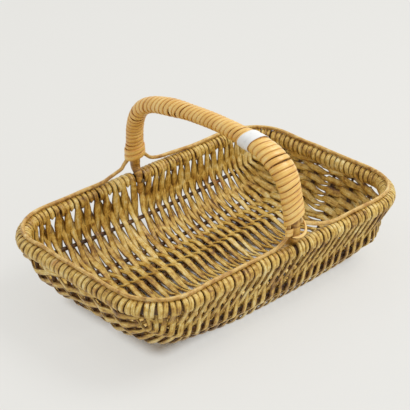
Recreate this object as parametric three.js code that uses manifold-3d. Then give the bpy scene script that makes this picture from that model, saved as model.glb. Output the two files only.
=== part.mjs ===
// An oblong willow trug: a bent hoop, eight long ribs, split willow strips woven across them,
// a thin rod along each half of the rim and a fixed bow handle wound with flat cane.
// Millimetres, +Z up. The basket is long in X, and it stands on z = 0 under the middle of the rim.
import * as THREE from "three";
import { mergeVertices } from "three/addons/utils/BufferGeometryUtils.js";
import Module from "manifold-3d";

// Rim
const rimLength = 400; // between the hoop's centre lines
const rimWidth = 263;
const rimCorner = 55;
const hoopRadius = 6;
const basketDepth = 87.2; // from the hoop's centre line down to the underside

// Ribs: half of them, from the floor's middle outwards; the other half mirrors them
const ribRadius = 2.5;
const innerRibY = 32;
const middleRibY = 60;
const outerRibY = 87;
const wallRibY = 119.5;
const innerRibDepth = 79.3; // below the hoop's centre line
const outerRibDepth = 76.8;
const wallRibDepth = 49.3;
const nearSag = 4.7; // the outer rib hangs lower on the -Y side
const nearLift = 3; // but higher towards the -X end
const liftStart = 40;
const liftLength = 120;
const nearSpread = 4; // and stands further out
const ribEndSpacing = 30; // between rib ends under the hoop's short sides
const wallRibEndDepth = 24; // below the hoop's centre line
const wallRibEndX = 192;
const wallRibEndY = 104;
const flatHalf = 139; // the floor is straight for this far to each side
const bendLength = 69; // length of rib for each radian of its turn up to the rim
const rightRockerStart = 20; // the floor rises slightly from here to the +X end
const leftRockerStart = 40; // and rather more from here to the -X end
const rockerLength = 120;
const rightRockerShare = 0.08;
const leftRockerShare = 0.12;

// Woven strips
const stripThickness = 1.8;
const clearance = 0.4;
const leftPitch = 7.4; // the rows lie closer on the +X side
const rightPitch = 5.85;
const lastRowTurn = 1.34; // the last rows lie where the ribs have turned up this far, in radians
const leftRows = 19;
const rightRows = 23;
const endRows = 11;
const rowsPerStrip = 4;
const leftStripWidth = 6.2;
const rightStripWidth = 4.8;
const endStripWidth = 3.7;
const hoopEndShare = 0.72; // how far the end rows' turns move along the hoop
const footHalf = 6; // half the level stretch under the floor's middle
const wallSlantLength = 125; // the end rows cross the wall rib aslant, so they bow out further
const bulgeY = 105; // the strips bow outwards between the wall rib and the next
const bulgeDepth = 66;
const bulgeEndX = 196;
const bulgeEndY = 92;

// Handle
const bowRise = 119.3; // the crest of the bow's centre line above the hoop's centre line
const coreRadius = 6;
const farFootX = -2.5;
const nearFootX = 8.5;
const tongueHalfWidth = 4.2; // the bow's ends are shaved to tongues inside the hoop
const tongueHalfThickness = 2.8;
const tongueDrop = 18;
const tongueTop = 4; // above the hoop's centre line
const elbowRise = 7.2; // where the tongue widens to the round rod
const elbowLength = 7;
const footParting = 5.2; // the rim's strips are pushed aside for each tongue
const footFadeLength = 60; // and less so with the distance from it
const windingStart = 23.8; // where the cane begins on the far leg, above the hoop's centre line
const nearWindingRise = 8; // it ends this much higher on the near leg
const collarStart = 2; // the first turn's middle, along the bow from the winding's start
const lastTurnMargin = 5.4; // and the last turn's middle, from the winding's end
const caneWidth = 5.4;
const caneThickness = 1.8;
const nominalCanePitch = 7.8;
const collarTurns = 2;
const farLegTurns = 16;
const nearLegTurns = 14; // the grip takes the turns that are left
const farBundleLength = 14; // how far the rod ends run up beside the bow inside the winding
const nearBundleLength = 98;
const gripHalfWidth = 9.5; // to the middle of the cane where the winding is thinnest
const gripHalfDepth = 8.9;
const coreStep = 34; // at most so far from ring to ring along the bow's line
const bundleStep = 60;
const rodStep = 20;
const bundleTaper = 14; // the core fills the winding again over this length
const bendSlack = 0.6; // between the core and the cane, which bend in steps of different lengths

// Trim rods, nails and label
const rodRadius = 2.3;
const nailRadius = 1;
const nailHeadRadius = 2.3;
const nailHeadThickness = 1;
const nailLength = 10;
const labelWidth = 18;
const labelThickness = 0.6;
const labelFromNear = 128; // from its middle to the near end of the bow's line
const labelLean = 4.5; // its upper edge lies this much nearer to the near foot than its middle
const endLoops = 18;
const endBandWidth = 6.8;

const hoopZ = basketDepth;
const halfLength = rimLength / 2;
const halfWidth = rimWidth / 2;
const turnRadius = hoopRadius + clearance + 0.9 * stripThickness; // of a strip's middle round the hoop
const turnReach = turnRadius + 0.55 * stripThickness;
const weaveOffset = ribRadius + clearance + stripThickness;
const middleRibDepth = basketDepth - weaveOffset - 0.55 * stripThickness;
const rodZ = hoopZ + turnReach + clearance + rodRadius;
const cornerStart = halfLength - rimCorner;
const cornerRun = (rimCorner * Math.PI) / 2;
const shortSide = rimWidth - 2 * rimCorner;

const vec = (x, y, z) => new THREE.Vector3(x, y, z);
const up = vec(0, 0, 1);

function mix(a, b, t) {
  return a + (b - a) * t;
}

function smooth(value) {
  const t = Math.min(1, Math.max(0, value));
  return t * t * (3 - 2 * t);
}

// A closed body from vertices and triangles, turned to face outwards.
function closedBody(positions, index) {
  const corner = [vec(0, 0, 0), vec(0, 0, 0), vec(0, 0, 0)];
  let volume = 0;
  for (let i = 0; i < index.length; i += 3) {
    corner.forEach((point, k) => point.fromArray(positions, index[i + k] * 3));
    volume += corner[0].dot(corner[1].cross(corner[2]));
  }
  const geometry = new THREE.BufferGeometry();
  geometry.setAttribute("position", new THREE.Float32BufferAttribute(positions, 3));
  geometry.setIndex(volume < 0 ? index.slice().reverse() : index);
  geometry.computeVertexNormals();
  return geometry;
}

// Joins rings of points into a tube; a closed tube's last ring meets its first.
function tubeOfRings(rings, closed = false) {
  const sides = rings[0].length;
  const index = [];
  const steps = closed ? rings.length : rings.length - 1;
  for (let i = 0; i < steps; i++) {
    const here = i * sides;
    const next = ((i + 1) % rings.length) * sides;
    for (let k = 0; k < sides; k++) {
      const l = (k + 1) % sides;
      index.push(here + k, here + l, next + l, here + k, next + l, next + k);
    }
  }
  if (!closed) {
    const last = (rings.length - 1) * sides;
    for (let k = 1; k < sides - 1; k++) {
      index.push(0, k + 1, k, last, last + k, last + k + 1);
    }
  }
  return closedBody(
    rings.flat().flatMap((point) => point.toArray()),
    index,
  );
}

// The direction of a run of points at one of them, and how much a bend there stretches a section.
function bendAt(points, i, closed) {
  const count = points.length;
  const before = closed ? points[(i + count - 1) % count] : points[Math.max(0, i - 1)];
  const after = closed ? points[(i + 1) % count] : points[Math.min(count - 1, i + 1)];
  const arriving = points[i].clone().sub(before).normalize();
  const leaving = after.clone().sub(points[i]).normalize();
  if (arriving.lengthSq() === 0) arriving.copy(leaving);
  if (leaving.lengthSq() === 0) leaving.copy(arriving);
  const along = arriving.clone().add(leaving).normalize();
  return { along, stretch: 1 / along.dot(leaving) };
}

// A flat strip through points, with its width along the given directions.
function stripRings(points, acrosses, width, thickness) {
  return points.map((point, i) => {
    const { along, stretch } = bendAt(points, i, false);
    const across = acrosses[i].clone();
    across.addScaledVector(along, -across.dot(along)).normalize();
    const normal = along.clone().cross(across);
    const corners = [
      [-1, -1],
      [1, -1],
      [1, 1],
      [-1, 1],
    ];
    return corners.map(([w, t]) =>
      point
        .clone()
        .addScaledVector(across, (w * width) / 2)
        .addScaledVector(normal, (t * thickness * stretch) / 2),
    );
  });
}

// A round rod through points.
function rodGeometry(points, radius, sides, closed = false) {
  let across = Math.abs(bendAt(points, 0, closed).along.z) > 0.9 ? vec(1, 0, 0) : up.clone();
  const rings = points.map((point, i) => {
    const { along } = bendAt(points, i, closed);
    across = across.clone().addScaledVector(along, -across.dot(along)).normalize();
    const normal = along.clone().cross(across);
    return Array.from({ length: sides }, (_, k) => {
      const angle = ((k + 0.5) * 2 * Math.PI) / sides;
      return point
        .clone()
        .addScaledVector(across, radius * Math.cos(angle))
        .addScaledVector(normal, radius * Math.sin(angle));
    });
  });
  return tubeOfRings(rings, closed);
}

// The rim's centre line, as a distance run from the middle of a long side (side 1 is +Y) towards
// one end (end 1 is +X): a half side, a corner, the short side and the next corner.
function rimAt(run, side, end) {
  let x;
  let y;
  let turn;
  if (run <= cornerStart) {
    [x, y, turn] = [run, halfWidth, 0];
  } else if (run <= cornerStart + cornerRun) {
    turn = (run - cornerStart) / rimCorner;
    x = cornerStart + rimCorner * Math.sin(turn);
    y = halfWidth - rimCorner + rimCorner * Math.cos(turn);
  } else if (run <= cornerStart + cornerRun + shortSide) {
    turn = Math.PI / 2;
    x = halfLength;
    y = shortSide / 2 - (run - cornerStart - cornerRun);
  } else {
    turn = Math.PI / 2 + (run - cornerStart - cornerRun - shortSide) / rimCorner;
    x = cornerStart + rimCorner * Math.sin(turn);
    y = -shortSide / 2 + rimCorner * Math.cos(turn);
  }
  const outward = vec(end * Math.sin(turn), side * Math.cos(turn), 0);
  const along = vec(end * Math.cos(turn), -side * Math.sin(turn), 0);
  return { centre: vec(end * x, side * y, hoopZ), outward, along };
}

// Ribs, and the lines between them that the strips also follow. A share below 1 makes a line
// climb its end later than the ribs in the middle do.
const ribEndDepth = turnReach + 2.2;
const halfRails = [
  { y: footHalf, depth: basketDepth - stripThickness / 2, endY: footHalf, endX: halfLength, share: 1 },
  { y: innerRibY, depth: innerRibDepth, endY: 0.5 * ribEndSpacing, endX: halfLength, share: 1, rib: "inner" },
  { y: middleRibY, depth: middleRibDepth, endY: 1.5 * ribEndSpacing, endX: halfLength, share: 1, rib: "middle" },
  {
    y: outerRibY,
    depth: outerRibDepth,
    nearShare: 1,
    endY: 2.5 * ribEndSpacing,
    endX: halfLength,
    share: 0.95,
    rib: "outer",
  },
  { y: bulgeY, depth: bulgeDepth, nearShare: 0.9, endY: bulgeEndY, endX: bulgeEndX, share: 0.9 },
  {
    y: wallRibY,
    depth: wallRibDepth,
    nearShare: 0.3,
    endY: wallRibEndY,
    endX: wallRibEndX,
    share: 0.8,
    rib: "wall",
  },
];

// A point of a rail. Station counts along the floor in X, then on along the bend up to the rim.
function railPoint(rail, station, side) {
  const end = Math.sign(station) || 1;
  const turn = (Math.max(0, Math.abs(station) - flatHalf) * rail.share) / bendLength;
  const straight = Math.min(Math.abs(station), flatHalf);
  const x = end * (straight + (rail.endX - flatHalf) * Math.sin(turn));
  const near = side < 0 && rail.nearShare ? rail.nearShare : 0;
  const y = side * mix(rail.y + near * nearSpread, rail.endY, smooth(turn / (rail.share * 1.25)));
  const [start, share] = end > 0 ? [rightRockerStart, rightRockerShare] : [leftRockerStart, leftRockerShare];
  const rise = Math.min(1, Math.max(0, Math.abs(x) - start) / rockerLength);
  const sag = mix(nearSag, -nearLift, smooth((-station - liftStart) / liftLength));
  const depth = (rail.depth + near * sag) * (1 - share * rise * rise) * Math.cos(turn);
  return vec(x, y, hoopZ - depth);
}

function stationOfRibEnd(rail) {
  const endDepth = rail.rib === "wall" ? wallRibEndDepth : ribEndDepth;
  return flatHalf + (bendLength / rail.share) * Math.acos(endDepth / ((1 - leftRockerShare) * rail.depth));
}

// Stations of the woven rows, from the -X end to the +X end.
function rowStations() {
  const stations = [];
  const firstRight = rightPitch / 2;
  const lastLeft = -leftPitch / 2;
  const leftEdge = lastLeft - (leftRows - 1) * leftPitch;
  const rightEdge = firstRight + (rightRows - 1) * rightPitch;
  const lastRow = flatHalf + lastRowTurn * bendLength;
  const leftEndPitch = (lastRow + leftEdge) / endRows;
  const rightEndPitch = (lastRow - rightEdge) / endRows;
  for (let k = endRows; k >= 1; k--) stations.push(leftEdge - k * leftEndPitch);
  for (let k = leftRows - 1; k >= 0; k--) stations.push(lastLeft - k * leftPitch);
  for (let k = 0; k < rightRows; k++) stations.push(firstRight + k * rightPitch);
  for (let k = 1; k <= endRows; k++) stations.push(rightEdge + k * rightEndPitch);
  return stations;
}
const stations = rowStations();
const firstRightRow = endRows + leftRows;

// How far a row is pushed along X at the rim, to leave room for the handle's foot on that side.
// The rows part there where no turn joins them: between the last two left rows on the +Y side,
// and after the second right row on the -Y side.
function footShift(row, side) {
  const before = side > 0 ? firstRightRow - 2 : firstRightRow + 1;
  const gapX = (stations[before] + stations[before + 1]) / 2;
  const footX = side > 0 ? farFootX : nearFootX;
  const distance = stations[row] - gapX;
  const fade = Math.exp(-((distance / footFadeLength) ** 2));
  return (footX - gapX + (row > before ? footParting : -footParting)) * fade;
}

function rimRun(row, side) {
  const station = stations[row];
  const end = Math.sign(station);
  const beyond = Math.max(0, Math.abs(station) - flatHalf);
  const run = Math.min(Math.abs(station), flatHalf) + beyond * hoopEndShare + end * footShift(row, side);
  return { run: Math.abs(run), end: run < 0 ? -end : end };
}

const footFade = { wall: 0.3, bulge: 0.1 };

// One woven row between the rim's two sides: over one rib and under the next.
function rowPoints(row) {
  const rails = [
    ...halfRails.slice().reverse().map((rail) => ({ ...rail, side: 1 })),
    ...halfRails.map((rail) => ({ ...rail, side: -1 })),
  ];
  const points = rails.map((rail) => railPoint(rail, stations[row], rail.side));
  const acrosses = rails.map((rail) =>
    railPoint(rail, stations[row] + 1, rail.side)
      .sub(railPoint(rail, stations[row] - 1, rail.side))
      .normalize(),
  );
  let over = row % 2 === 0 ? -1 : 1;
  const woven = points.map((point, i) => {
    const before = points[Math.max(0, i - 1)];
    const after = points[Math.min(points.length - 1, i + 1)];
    const normal = acrosses[i].clone().cross(after.clone().sub(before)).normalize();
    if (normal.z < 0) normal.negate();
    const moved = point.clone();
    if (rails[i].rib) {
      const slant = rails[i].rib === "wall" ? Math.max(0, Math.abs(stations[row]) - flatHalf) : 0;
      moved.addScaledVector(normal, over * weaveOffset * (1 + slant / wallSlantLength));
      over = -over;
    }
    const fade = rails[i].rib === "wall" ? footFade.wall : rails[i].y === bulgeY ? footFade.bulge : 0;
    moved.x += fade * footShift(row, rails[i].side);
    return moved;
  });
  return { points: woven, acrosses };
}

// Part of a turn round the hoop, between two rows or at a strip's end. Angles are in eighths of a
// turn: 0 is the outside, 2 the top, 4 the inside and -2 the bottom.
function hoopTurn(fromRow, toRow, side, eighths) {
  const from = rimRun(fromRow, side);
  const to = rimRun(toRow, side);
  const fromX = from.run * from.end;
  const toX = to.run * to.end;
  const points = [];
  const acrosses = [];
  eighths.forEach((eighth, k) => {
    const place = mix(fromX, toX, eighths.length > 1 ? k / (eighths.length - 1) : 0);
    const end = Math.sign(place) || 1;
    const rim = rimAt(Math.abs(place), side, end);
    const angle = (eighth * Math.PI) / 4;
    points.push(
      rim.centre
        .clone()
        .addScaledVector(rim.outward, turnRadius * Math.cos(angle))
        .addScaledVector(up, turnRadius * Math.sin(angle)),
    );
    acrosses.push(rim.along.clone().multiplyScalar(end));
  });
  return { points, acrosses };
}

const overTheRim = [4, 3, 2, 1, 0, -1, -2];

// A row lies outside its wall rib and rises inside the hoop, or the other way round.
function risesInside(row, side) {
  return (row % 2 === 0) === (side > 0);
}

// One long strip: some rows, joined by turns over the rim on alternate sides.
function weaverGeometry(firstRow, width) {
  const lastRow = firstRow + rowsPerStrip - 1;
  const points = [];
  const acrosses = [];
  const add = (piece) => {
    points.push(...piece.points);
    acrosses.push(...piece.acrosses);
  };
  for (let row = firstRow; row <= lastRow; row++) {
    const startSide = row % 2 === 0 ? 1 : -1;
    if (row === firstRow) {
      const tail = risesInside(row, startSide) ? [0, 1, 2, 3, 4] : [3, 2, 1, 0, -1, -2];
      add(hoopTurn(row, row, startSide, tail));
    }
    const woven = rowPoints(row);
    if (startSide < 0) {
      woven.points.reverse();
      woven.acrosses.reverse();
    }
    add(woven);
    const inside = risesInside(row, -startSide);
    if (row < lastRow) {
      const turn = inside ? overTheRim : overTheRim.slice().reverse();
      add(hoopTurn(row, row + 1, -startSide, turn));
    } else {
      add(hoopTurn(row, row, -startSide, inside ? [4, 3, 2, 1, 0] : [-2, -1, 0, 1, 2, 3]));
    }
  }
  return tubeOfRings(stripRings(points, acrosses, width, stripThickness));
}

function ribGeometry(rail, side) {
  const end = stationOfRibEnd(rail);
  const points = [];
  const bendSteps = 6;
  for (let k = bendSteps; k >= 1; k--) {
    points.push(railPoint(rail, -mix(flatHalf, end, k / bendSteps), side));
  }
  for (const share of [-1, -0.8, -0.5, 0, 0.5, 0.8, 1]) {
    points.push(railPoint(rail, share * flatHalf, side));
  }
  for (let k = 1; k <= bendSteps; k++) {
    points.push(railPoint(rail, mix(flatHalf, end, k / bendSteps), side));
  }
  return rodGeometry(points, ribRadius, 6);
}

function hoopGeometry() {
  const points = [];
  const cornerSteps = 10;
  for (const [side, end] of [
    [1, 1],
    [-1, 1],
    [-1, -1],
    [1, -1],
  ]) {
    const corner = [];
    for (let k = 0; k <= cornerSteps; k++) {
      corner.push(rimAt(cornerStart + (k / cornerSteps) * cornerRun, side, end).centre);
    }
    points.push(...(side * end > 0 ? corner : corner.reverse()));
  }
  return rodGeometry(points, hoopRadius, 8, true);
}

// The least gap between a winding's neighbouring turns, measured from the points of one edge to
// the lengths of the other.
function leastGap(rings, stepsPerTurn) {
  const nearest = vec(0, 0, 0);
  const length = new THREE.Line3();
  let least = Infinity;
  for (let i = 0; i + stepsPerTurn < rings.length; i++) {
    for (let j = i + stepsPerTurn - 2; j < Math.min(i + stepsPerTurn + 2, rings.length - 1); j++) {
      for (const point of rings[i]) {
        for (let k = 0; k < 4; k++) {
          length.set(rings[j][k], rings[j + 1][k]);
          length.closestPointToPoint(point, true, nearest);
          least = Math.min(least, nearest.distanceTo(point));
        }
      }
    }
  }
  return least;
}

// A flat band wound round a path. At each place the path gives its centre, its direction and two
// directions across it with the winding's reach along each.
function windingGeometry(name, frameAt, from, to, turns, stepsPerTurn, width, thickness) {
  const steps = Math.round(turns * stepsPerTurn);
  const points = [];
  const acrosses = [];
  for (let i = 0; i <= steps; i++) {
    const frame = frameAt(mix(from, to, i / steps));
    const angle = (i * 2 * Math.PI) / stepsPerTurn;
    points.push(
      frame.centre
        .clone()
        .addScaledVector(frame.wide, frame.wideReach * Math.cos(angle))
        .addScaledVector(frame.deep, frame.deepReach * Math.sin(angle)),
    );
    acrosses.push(frame.along);
  }
  const rings = stripRings(points, acrosses, width, thickness);
  console.log(`${name}: least gap between turns ${leastGap(rings, stepsPerTurn).toFixed(2)} mm`);
  return tubeOfRings(rings);
}

function endBindingGeometry(name, end) {
  const lastRow = end < 0 ? 0 : stations.length - 1;
  const margin = endStripWidth / 2 + endBandWidth / 2 + 3 * clearance;
  const from = Math.max(rimRun(lastRow, 1).run, rimRun(lastRow, -1).run) + margin;
  const to = 2 * cornerStart + 2 * cornerRun + shortSide - from;
  const frameAt = (run) => {
    const rim = rimAt(run, 1, end);
    const reach = { wideReach: turnRadius, deepReach: turnRadius };
    return { centre: rim.centre, along: rim.along, wide: rim.outward, deep: up, ...reach };
  };
  return windingGeometry(name, frameAt, from, to, endLoops, 8, endBandWidth, stripThickness);
}

// The bow's own plane stands on both feet, slightly askew to the basket.
const skew = Math.atan2(nearFootX - farFootX, rimWidth);
const bowMiddleX = (farFootX + nearFootX) / 2;
const bowAcross = vec(Math.cos(skew), Math.sin(skew), 0); // square to the bow's plane
const bowSpread = vec(-Math.sin(skew), Math.cos(skew), 0); // from the near foot to the far one
const bowHalf = Math.hypot(rimWidth, nearFootX - farFootX) / 2;

function bowPlace(x, y, z) {
  return vec(bowMiddleX, 0, hoopZ + z).addScaledVector(bowAcross, x).addScaledVector(bowSpread, y);
}

// The bow's centre line from the far leg to the near one: across, as a share of half its span,
// and up, as a share of its rise above the winding's start.
const bowLine = new THREE.CatmullRomCurve3(
  [
    [1, 0], [0.989, 0.294], [0.97, 0.514], [0.923, 0.682], [0.843, 0.808], [0.714, 0.897], [0.547, 0.948],
    [0.342, 0.984], [0.114, 1], [-0.114, 1], [-0.319, 0.979], [-0.509, 0.947], [-0.653, 0.908], [-0.783, 0.829],
    [-0.874, 0.724], [-0.931, 0.593], [-0.962, 0.441], [-0.988, 0.283], [-1, 0.147], [-1, 0],
  ].map(([across, rise]) => bowPlace(0, across * bowHalf, mix(windingStart, bowRise, rise))),
  false,
  "centripetal",
);
const bowRun = bowLine.getLength();
const woundRun = bowRun - collarStart - nearWindingRise - lastTurnMargin;
const caneTurns = Math.round(woundRun / nominalCanePitch);
const canePitch = woundRun / caneTurns;

// How far the winding reaches along and across the basket, against the grip, at shares of the bow's
// line. It is wide where the rod ends lie beside the core, and widest at the near bend.
const windingReaches = [
  { share: 0.041, wide: 1.379, deep: 1.022 },
  { share: 0.069, wide: 1.147, deep: 0.978 },
  { share: 0.167, wide: 1.105, deep: 1 },
  { share: 0.256, wide: 1.042, deep: 1.022 },
  { share: 0.346, wide: 1.126, deep: 1.135 },
  { share: 0.441, wide: 1, deep: 1 },
  { share: 0.564, wide: 1, deep: 1 },
  { share: 0.61, wide: 1.063, deep: 1.045 },
  { share: 0.672, wide: 1.274, deep: 1.135 },
  { share: 0.769, wide: 1.589, deep: 1.169 },
  { share: 0.808, wide: 1.653, deep: 1.135 },
  { share: 0.885, wide: 1.442, deep: 1.022 },
  { share: 0.98, wide: 1.411, deep: 0.978 },
].map(({ share, wide, deep }) => ({ run: share * bowRun, wide: wide * gripHalfWidth, deep: deep * gripHalfDepth }));

function reachAt(run) {
  const next = windingReaches.findIndex((place) => place.run > run);
  if (next === 0) return windingReaches[0];
  if (next < 0) return windingReaches.at(-1);
  const before = windingReaches[next - 1];
  const after = windingReaches[next];
  const share = smooth((run - before.run) / (after.run - before.run));
  return { wide: mix(before.wide, after.wide, share), deep: mix(before.deep, after.deep, share) };
}

// A place along the bow, from where the cane starts on the far leg to where it ends on the near.
function bowAt(run) {
  const share = Math.min(1, Math.max(0, run / bowRun));
  const along = bowLine.getTangentAt(share);
  const { wide, deep } = reachAt(run);
  return {
    centre: bowLine.getPointAt(share),
    along,
    wide: bowAcross,
    deep: along.clone().cross(bowAcross),
    wideReach: wide,
    deepReach: deep,
  };
}

// The core fills the winding, and is narrower where the rods lie between it and the cane.
const caneInset = caneThickness / 2 + clearance;
const rodInset = caneInset + rodRadius + 2 * clearance;

function coreReach(run) {
  const { wideReach, deepReach } = bowAt(run);
  const flat = Math.cos(Math.PI / 8);
  const inset = caneInset + bendSlack;
  const free = smooth((run - farBundleLength) / bundleTaper) * smooth((bowRun - nearBundleLength - run) / bundleTaper);
  const besideRods = wideReach - rodInset - rodRadius - clearance;
  return { wideReach: mix(besideRods, flat * wideReach - inset, free), deepReach: flat * deepReach - inset };
}

// Places along the bow, one wherever it has turned by another step or run on far enough.
function bowRuns(from, to, longestStep) {
  const turnStep = Math.PI / 14;
  const runs = [from];
  for (let run = from; run < to - 4; run += 2) {
    const last = runs.at(-1);
    if (bowAt(run).along.angleTo(bowAt(last).along) > turnStep || run - last > longestStep) runs.push(run);
  }
  return [...runs, to];
}

// The bow: a round rod whose ends are shaved to flat tongues and set inside the hoop.
function bowGeometry() {
  const tongueY = bowHalf - hoopRadius - clearance - tongueHalfThickness;
  const foot = [
    { y: tongueY, z: -tongueDrop, wide: 0.7 * tongueHalfWidth, deep: 0.6 * tongueHalfThickness },
    { y: tongueY, z: -0.75 * tongueDrop, wide: tongueHalfWidth, deep: tongueHalfThickness },
    { y: tongueY, z: tongueTop, wide: tongueHalfWidth, deep: tongueHalfThickness },
    { y: mix(tongueY, bowHalf, 0.24), z: elbowRise, wide: tongueHalfWidth, deep: mix(tongueHalfThickness, coreRadius, 0.6) },
    { y: mix(tongueY, bowHalf, 0.6), z: turnReach + 1, wide: tongueHalfWidth, deep: coreRadius },
    { y: bowHalf, z: turnReach + elbowLength, wide: coreRadius, deep: coreRadius },
  ];
  const sections = foot.map((section) => ({
    centre: bowPlace(0, section.y, section.z),
    wide: bowAcross,
    deep: bowSpread,
    wideReach: section.wide,
    deepReach: section.deep,
  }));
  const nearBundleTop = bowRun - nearBundleLength;
  const runs = [
    ...bowRuns(0, farBundleLength, bundleTaper),
    ...bowRuns(farBundleLength + bundleTaper, nearBundleTop - bundleTaper, coreStep),
    ...bowRuns(nearBundleTop, bowRun - nearWindingRise, bundleStep),
  ];
  for (const run of runs) sections.push({ ...bowAt(run), ...coreReach(run) });
  for (const section of foot.slice().reverse()) {
    sections.push({
      centre: bowPlace(0, -section.y, section.z),
      wide: bowAcross,
      deep: bowSpread.clone().negate(),
      wideReach: section.wide,
      deepReach: section.deep,
    });
  }
  const rings = sections.map((section) =>
    Array.from({ length: 8 }, (_, k) => {
      const angle = ((k + 0.5) * Math.PI) / 4;
      return section.centre
        .clone()
        .addScaledVector(section.wide, section.wideReach * Math.cos(angle))
        .addScaledVector(section.deep, section.deepReach * Math.sin(angle));
    }),
  );
  return tubeOfRings(rings);
}

// How each trim rod leaves its leg's winding and comes down to the rim: how far along X from the
// leg, and how high above the rod's place on the rim.
const rodRoutes = {
  farLeft: [[9.2, 11], [12.5, 9], [20, 7], [30, 4.6], [42, 2.4], [57, 0.8], [74, 0]],
  farRight: [[9.2, 11], [12, 8.6], [20, 6.4], [30, 4.8], [43, 3], [60, 1.5], [84, 0]],
  nearLeft: [[9.3, 18], [10.2, 12], [12.5, 8], [17.5, 4.6], [25, 2], [34, 0.5], [44, 0]],
  nearRight: [[10.4, 20.5], [14, 17.6], [22, 13.8], [34, 8.4], [46, 3.6], [57, 1], [68, 0]],
};

// Half of the rim's trim: up beside the bow at the far foot, round one end and up at the near foot.
function trimRodGeometry(end, farRoute, nearRoute) {
  const besideBow = (run) => {
    const place = bowAt(run);
    return place.centre.addScaledVector(place.wide, end * (place.wideReach - rodInset));
  };
  const enters = 4; // the rod lies beside the bow from this far inside the winding
  const withinFar = [farBundleLength, enters];
  const withinNear = bowRuns(bowRun - nearBundleLength, bowRun - nearWindingRise - enters, rodStep);
  const leg = (side, within, route) => {
    const footX = side > 0 ? farFootX : nearFootX;
    const outside = route.map(([x, rise]) => vec(footX + end * x, side * halfWidth, rodZ + rise));
    return [...within.map(besideBow), ...outside];
  };
  const around = [];
  const cornerSteps = 7;
  for (let k = 0; k <= cornerSteps; k++) {
    around.push(rimAt(cornerStart + (k / cornerSteps) * cornerRun, 1, end).centre.setZ(rodZ));
  }
  for (let k = cornerSteps; k >= 0; k--) {
    around.push(rimAt(cornerStart + (k / cornerSteps) * cornerRun, -1, end).centre.setZ(rodZ));
  }
  const farLeg = leg(1, withinFar, farRoute);
  const nearLeg = leg(-1, withinNear, nearRoute).reverse();
  return rodGeometry([...farLeg, ...around, ...nearLeg], rodRadius, 6);
}

// A cane tie: two turns round the near rod, just under the winding.
function rodTieGeometry() {
  const [[topX, topRise], [lowX, lowRise]] = rodRoutes.nearLeft;
  const top = vec(nearFootX - topX, -halfWidth, rodZ + topRise);
  const low = vec(nearFootX - lowX, -halfWidth, rodZ + lowRise);
  const along = low.clone().sub(top).normalize();
  const reach = rodRadius + 2 * clearance + 0.4;
  const frameAt = (run) => ({
    centre: top.clone().addScaledVector(along, run),
    along,
    wide: vec(0, 1, 0),
    deep: along.clone().cross(vec(0, 1, 0)),
    wideReach: reach,
    deepReach: reach,
  });
  return windingGeometry("near_rod_tie", frameAt, 0.6, 5, 2, 6, 1.5, 0.7);
}

// A paper band round the winding, a little aslant.
function labelGeometry() {
  const sides = 12;
  const inside = 0.75 * caneThickness + clearance;
  const rings = Array.from({ length: sides }, (_, k) => {
    const angle = (k * 2 * Math.PI) / sides;
    const corners = [
      [-1, 0],
      [-1, labelThickness],
      [1, labelThickness],
      [1, 0],
    ];
    return corners.map(([edge, beyond]) => {
      const place = bowAt(bowRun - labelFromNear + (edge * labelWidth) / 2 + labelLean * Math.sin(angle));
      const stretch = 1 / Math.cos(Math.PI / sides);
      return place.centre
        .addScaledVector(place.wide, (place.wideReach * stretch + inside + beyond) * Math.cos(angle))
        .addScaledVector(place.deep, (place.deepReach * stretch + inside + beyond) * Math.sin(angle));
    });
  });
  return tubeOfRings(rings, true);
}

const wasm = await Module();
wasm.setup();

function toSolid(geometry) {
  const bare = geometry.clone();
  bare.deleteAttribute("normal");
  bare.deleteAttribute("uv");
  const merged = mergeVertices(bare, 1e-4);
  const vertProperties = new Float32Array(merged.attributes.position.array);
  const triVerts = new Uint32Array(merged.index.array);
  return new wasm.Manifold(new wasm.Mesh({ numProp: 3, vertProperties, triVerts }));
}

function cut(geometry, tools) {
  let solid = toSolid(geometry);
  for (const tool of tools) solid = solid.subtract(toSolid(tool));
  const result = solid.getMesh();
  const made = new THREE.BufferGeometry();
  made.setAttribute("position", new THREE.Float32BufferAttribute(result.vertProperties, 3));
  made.setIndex(Array.from(result.triVerts));
  made.computeVertexNormals();
  return made;
}

// A nail through a tongue into the hoop, or the hole that it needs.
function nailGeometry(side, spare) {
  const sunk = halfWidth + 2;
  const outside = spare > 0 ? 3 : 0;
  const profile = [
    new THREE.Vector2(0, -spare),
    new THREE.Vector2(nailRadius + spare, -spare),
    new THREE.Vector2(nailRadius + spare, nailLength),
    new THREE.Vector2(spare > 0 ? nailRadius + spare : nailHeadRadius, nailLength),
    new THREE.Vector2(spare > 0 ? nailRadius + spare : nailHeadRadius, nailLength + nailHeadThickness + outside),
    new THREE.Vector2(0, nailLength + nailHeadThickness + outside),
  ];
  const nail = new THREE.LatheGeometry(profile, 8);
  const tongueFace = bowHalf - hoopRadius - clearance - 2 * tongueHalfThickness;
  const headY = tongueFace - clearance;
  nail.rotateX(side > 0 ? Math.PI : 0);
  nail.translate(0, side * (headY + nailLength), 0);
  const place = bowPlace(0, 0, 0);
  nail.rotateZ(skew);
  nail.translate(place.x, 0, place.z);
  if (headY + nailLength > sunk) throw new Error("The nail is longer than the tongue and the hoop.");
  return nail;
}

function finish(color, roughness) {
  return new THREE.MeshStandardMaterial({ color, roughness, metalness: 0 });
}

const willow = finish(0xa9853f, 0.62);
const willowEnds = finish(0xb48f45, 0.6);
const hoopWood = finish(0x8a6430, 0.7);
const rodWood = finish(0xb88c4c, 0.6);
const cane = finish(0xe2ae5c, 0.42);
const steel = finish(0x8d8a84, 0.4);
const paper = finish(0xe9e7e2, 0.75);

const trug = new THREE.Group();

function addPiece(name, geometry, material) {
  const mesh = new THREE.Mesh(geometry, material);
  mesh.name = name;
  trug.add(mesh);
}

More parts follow.
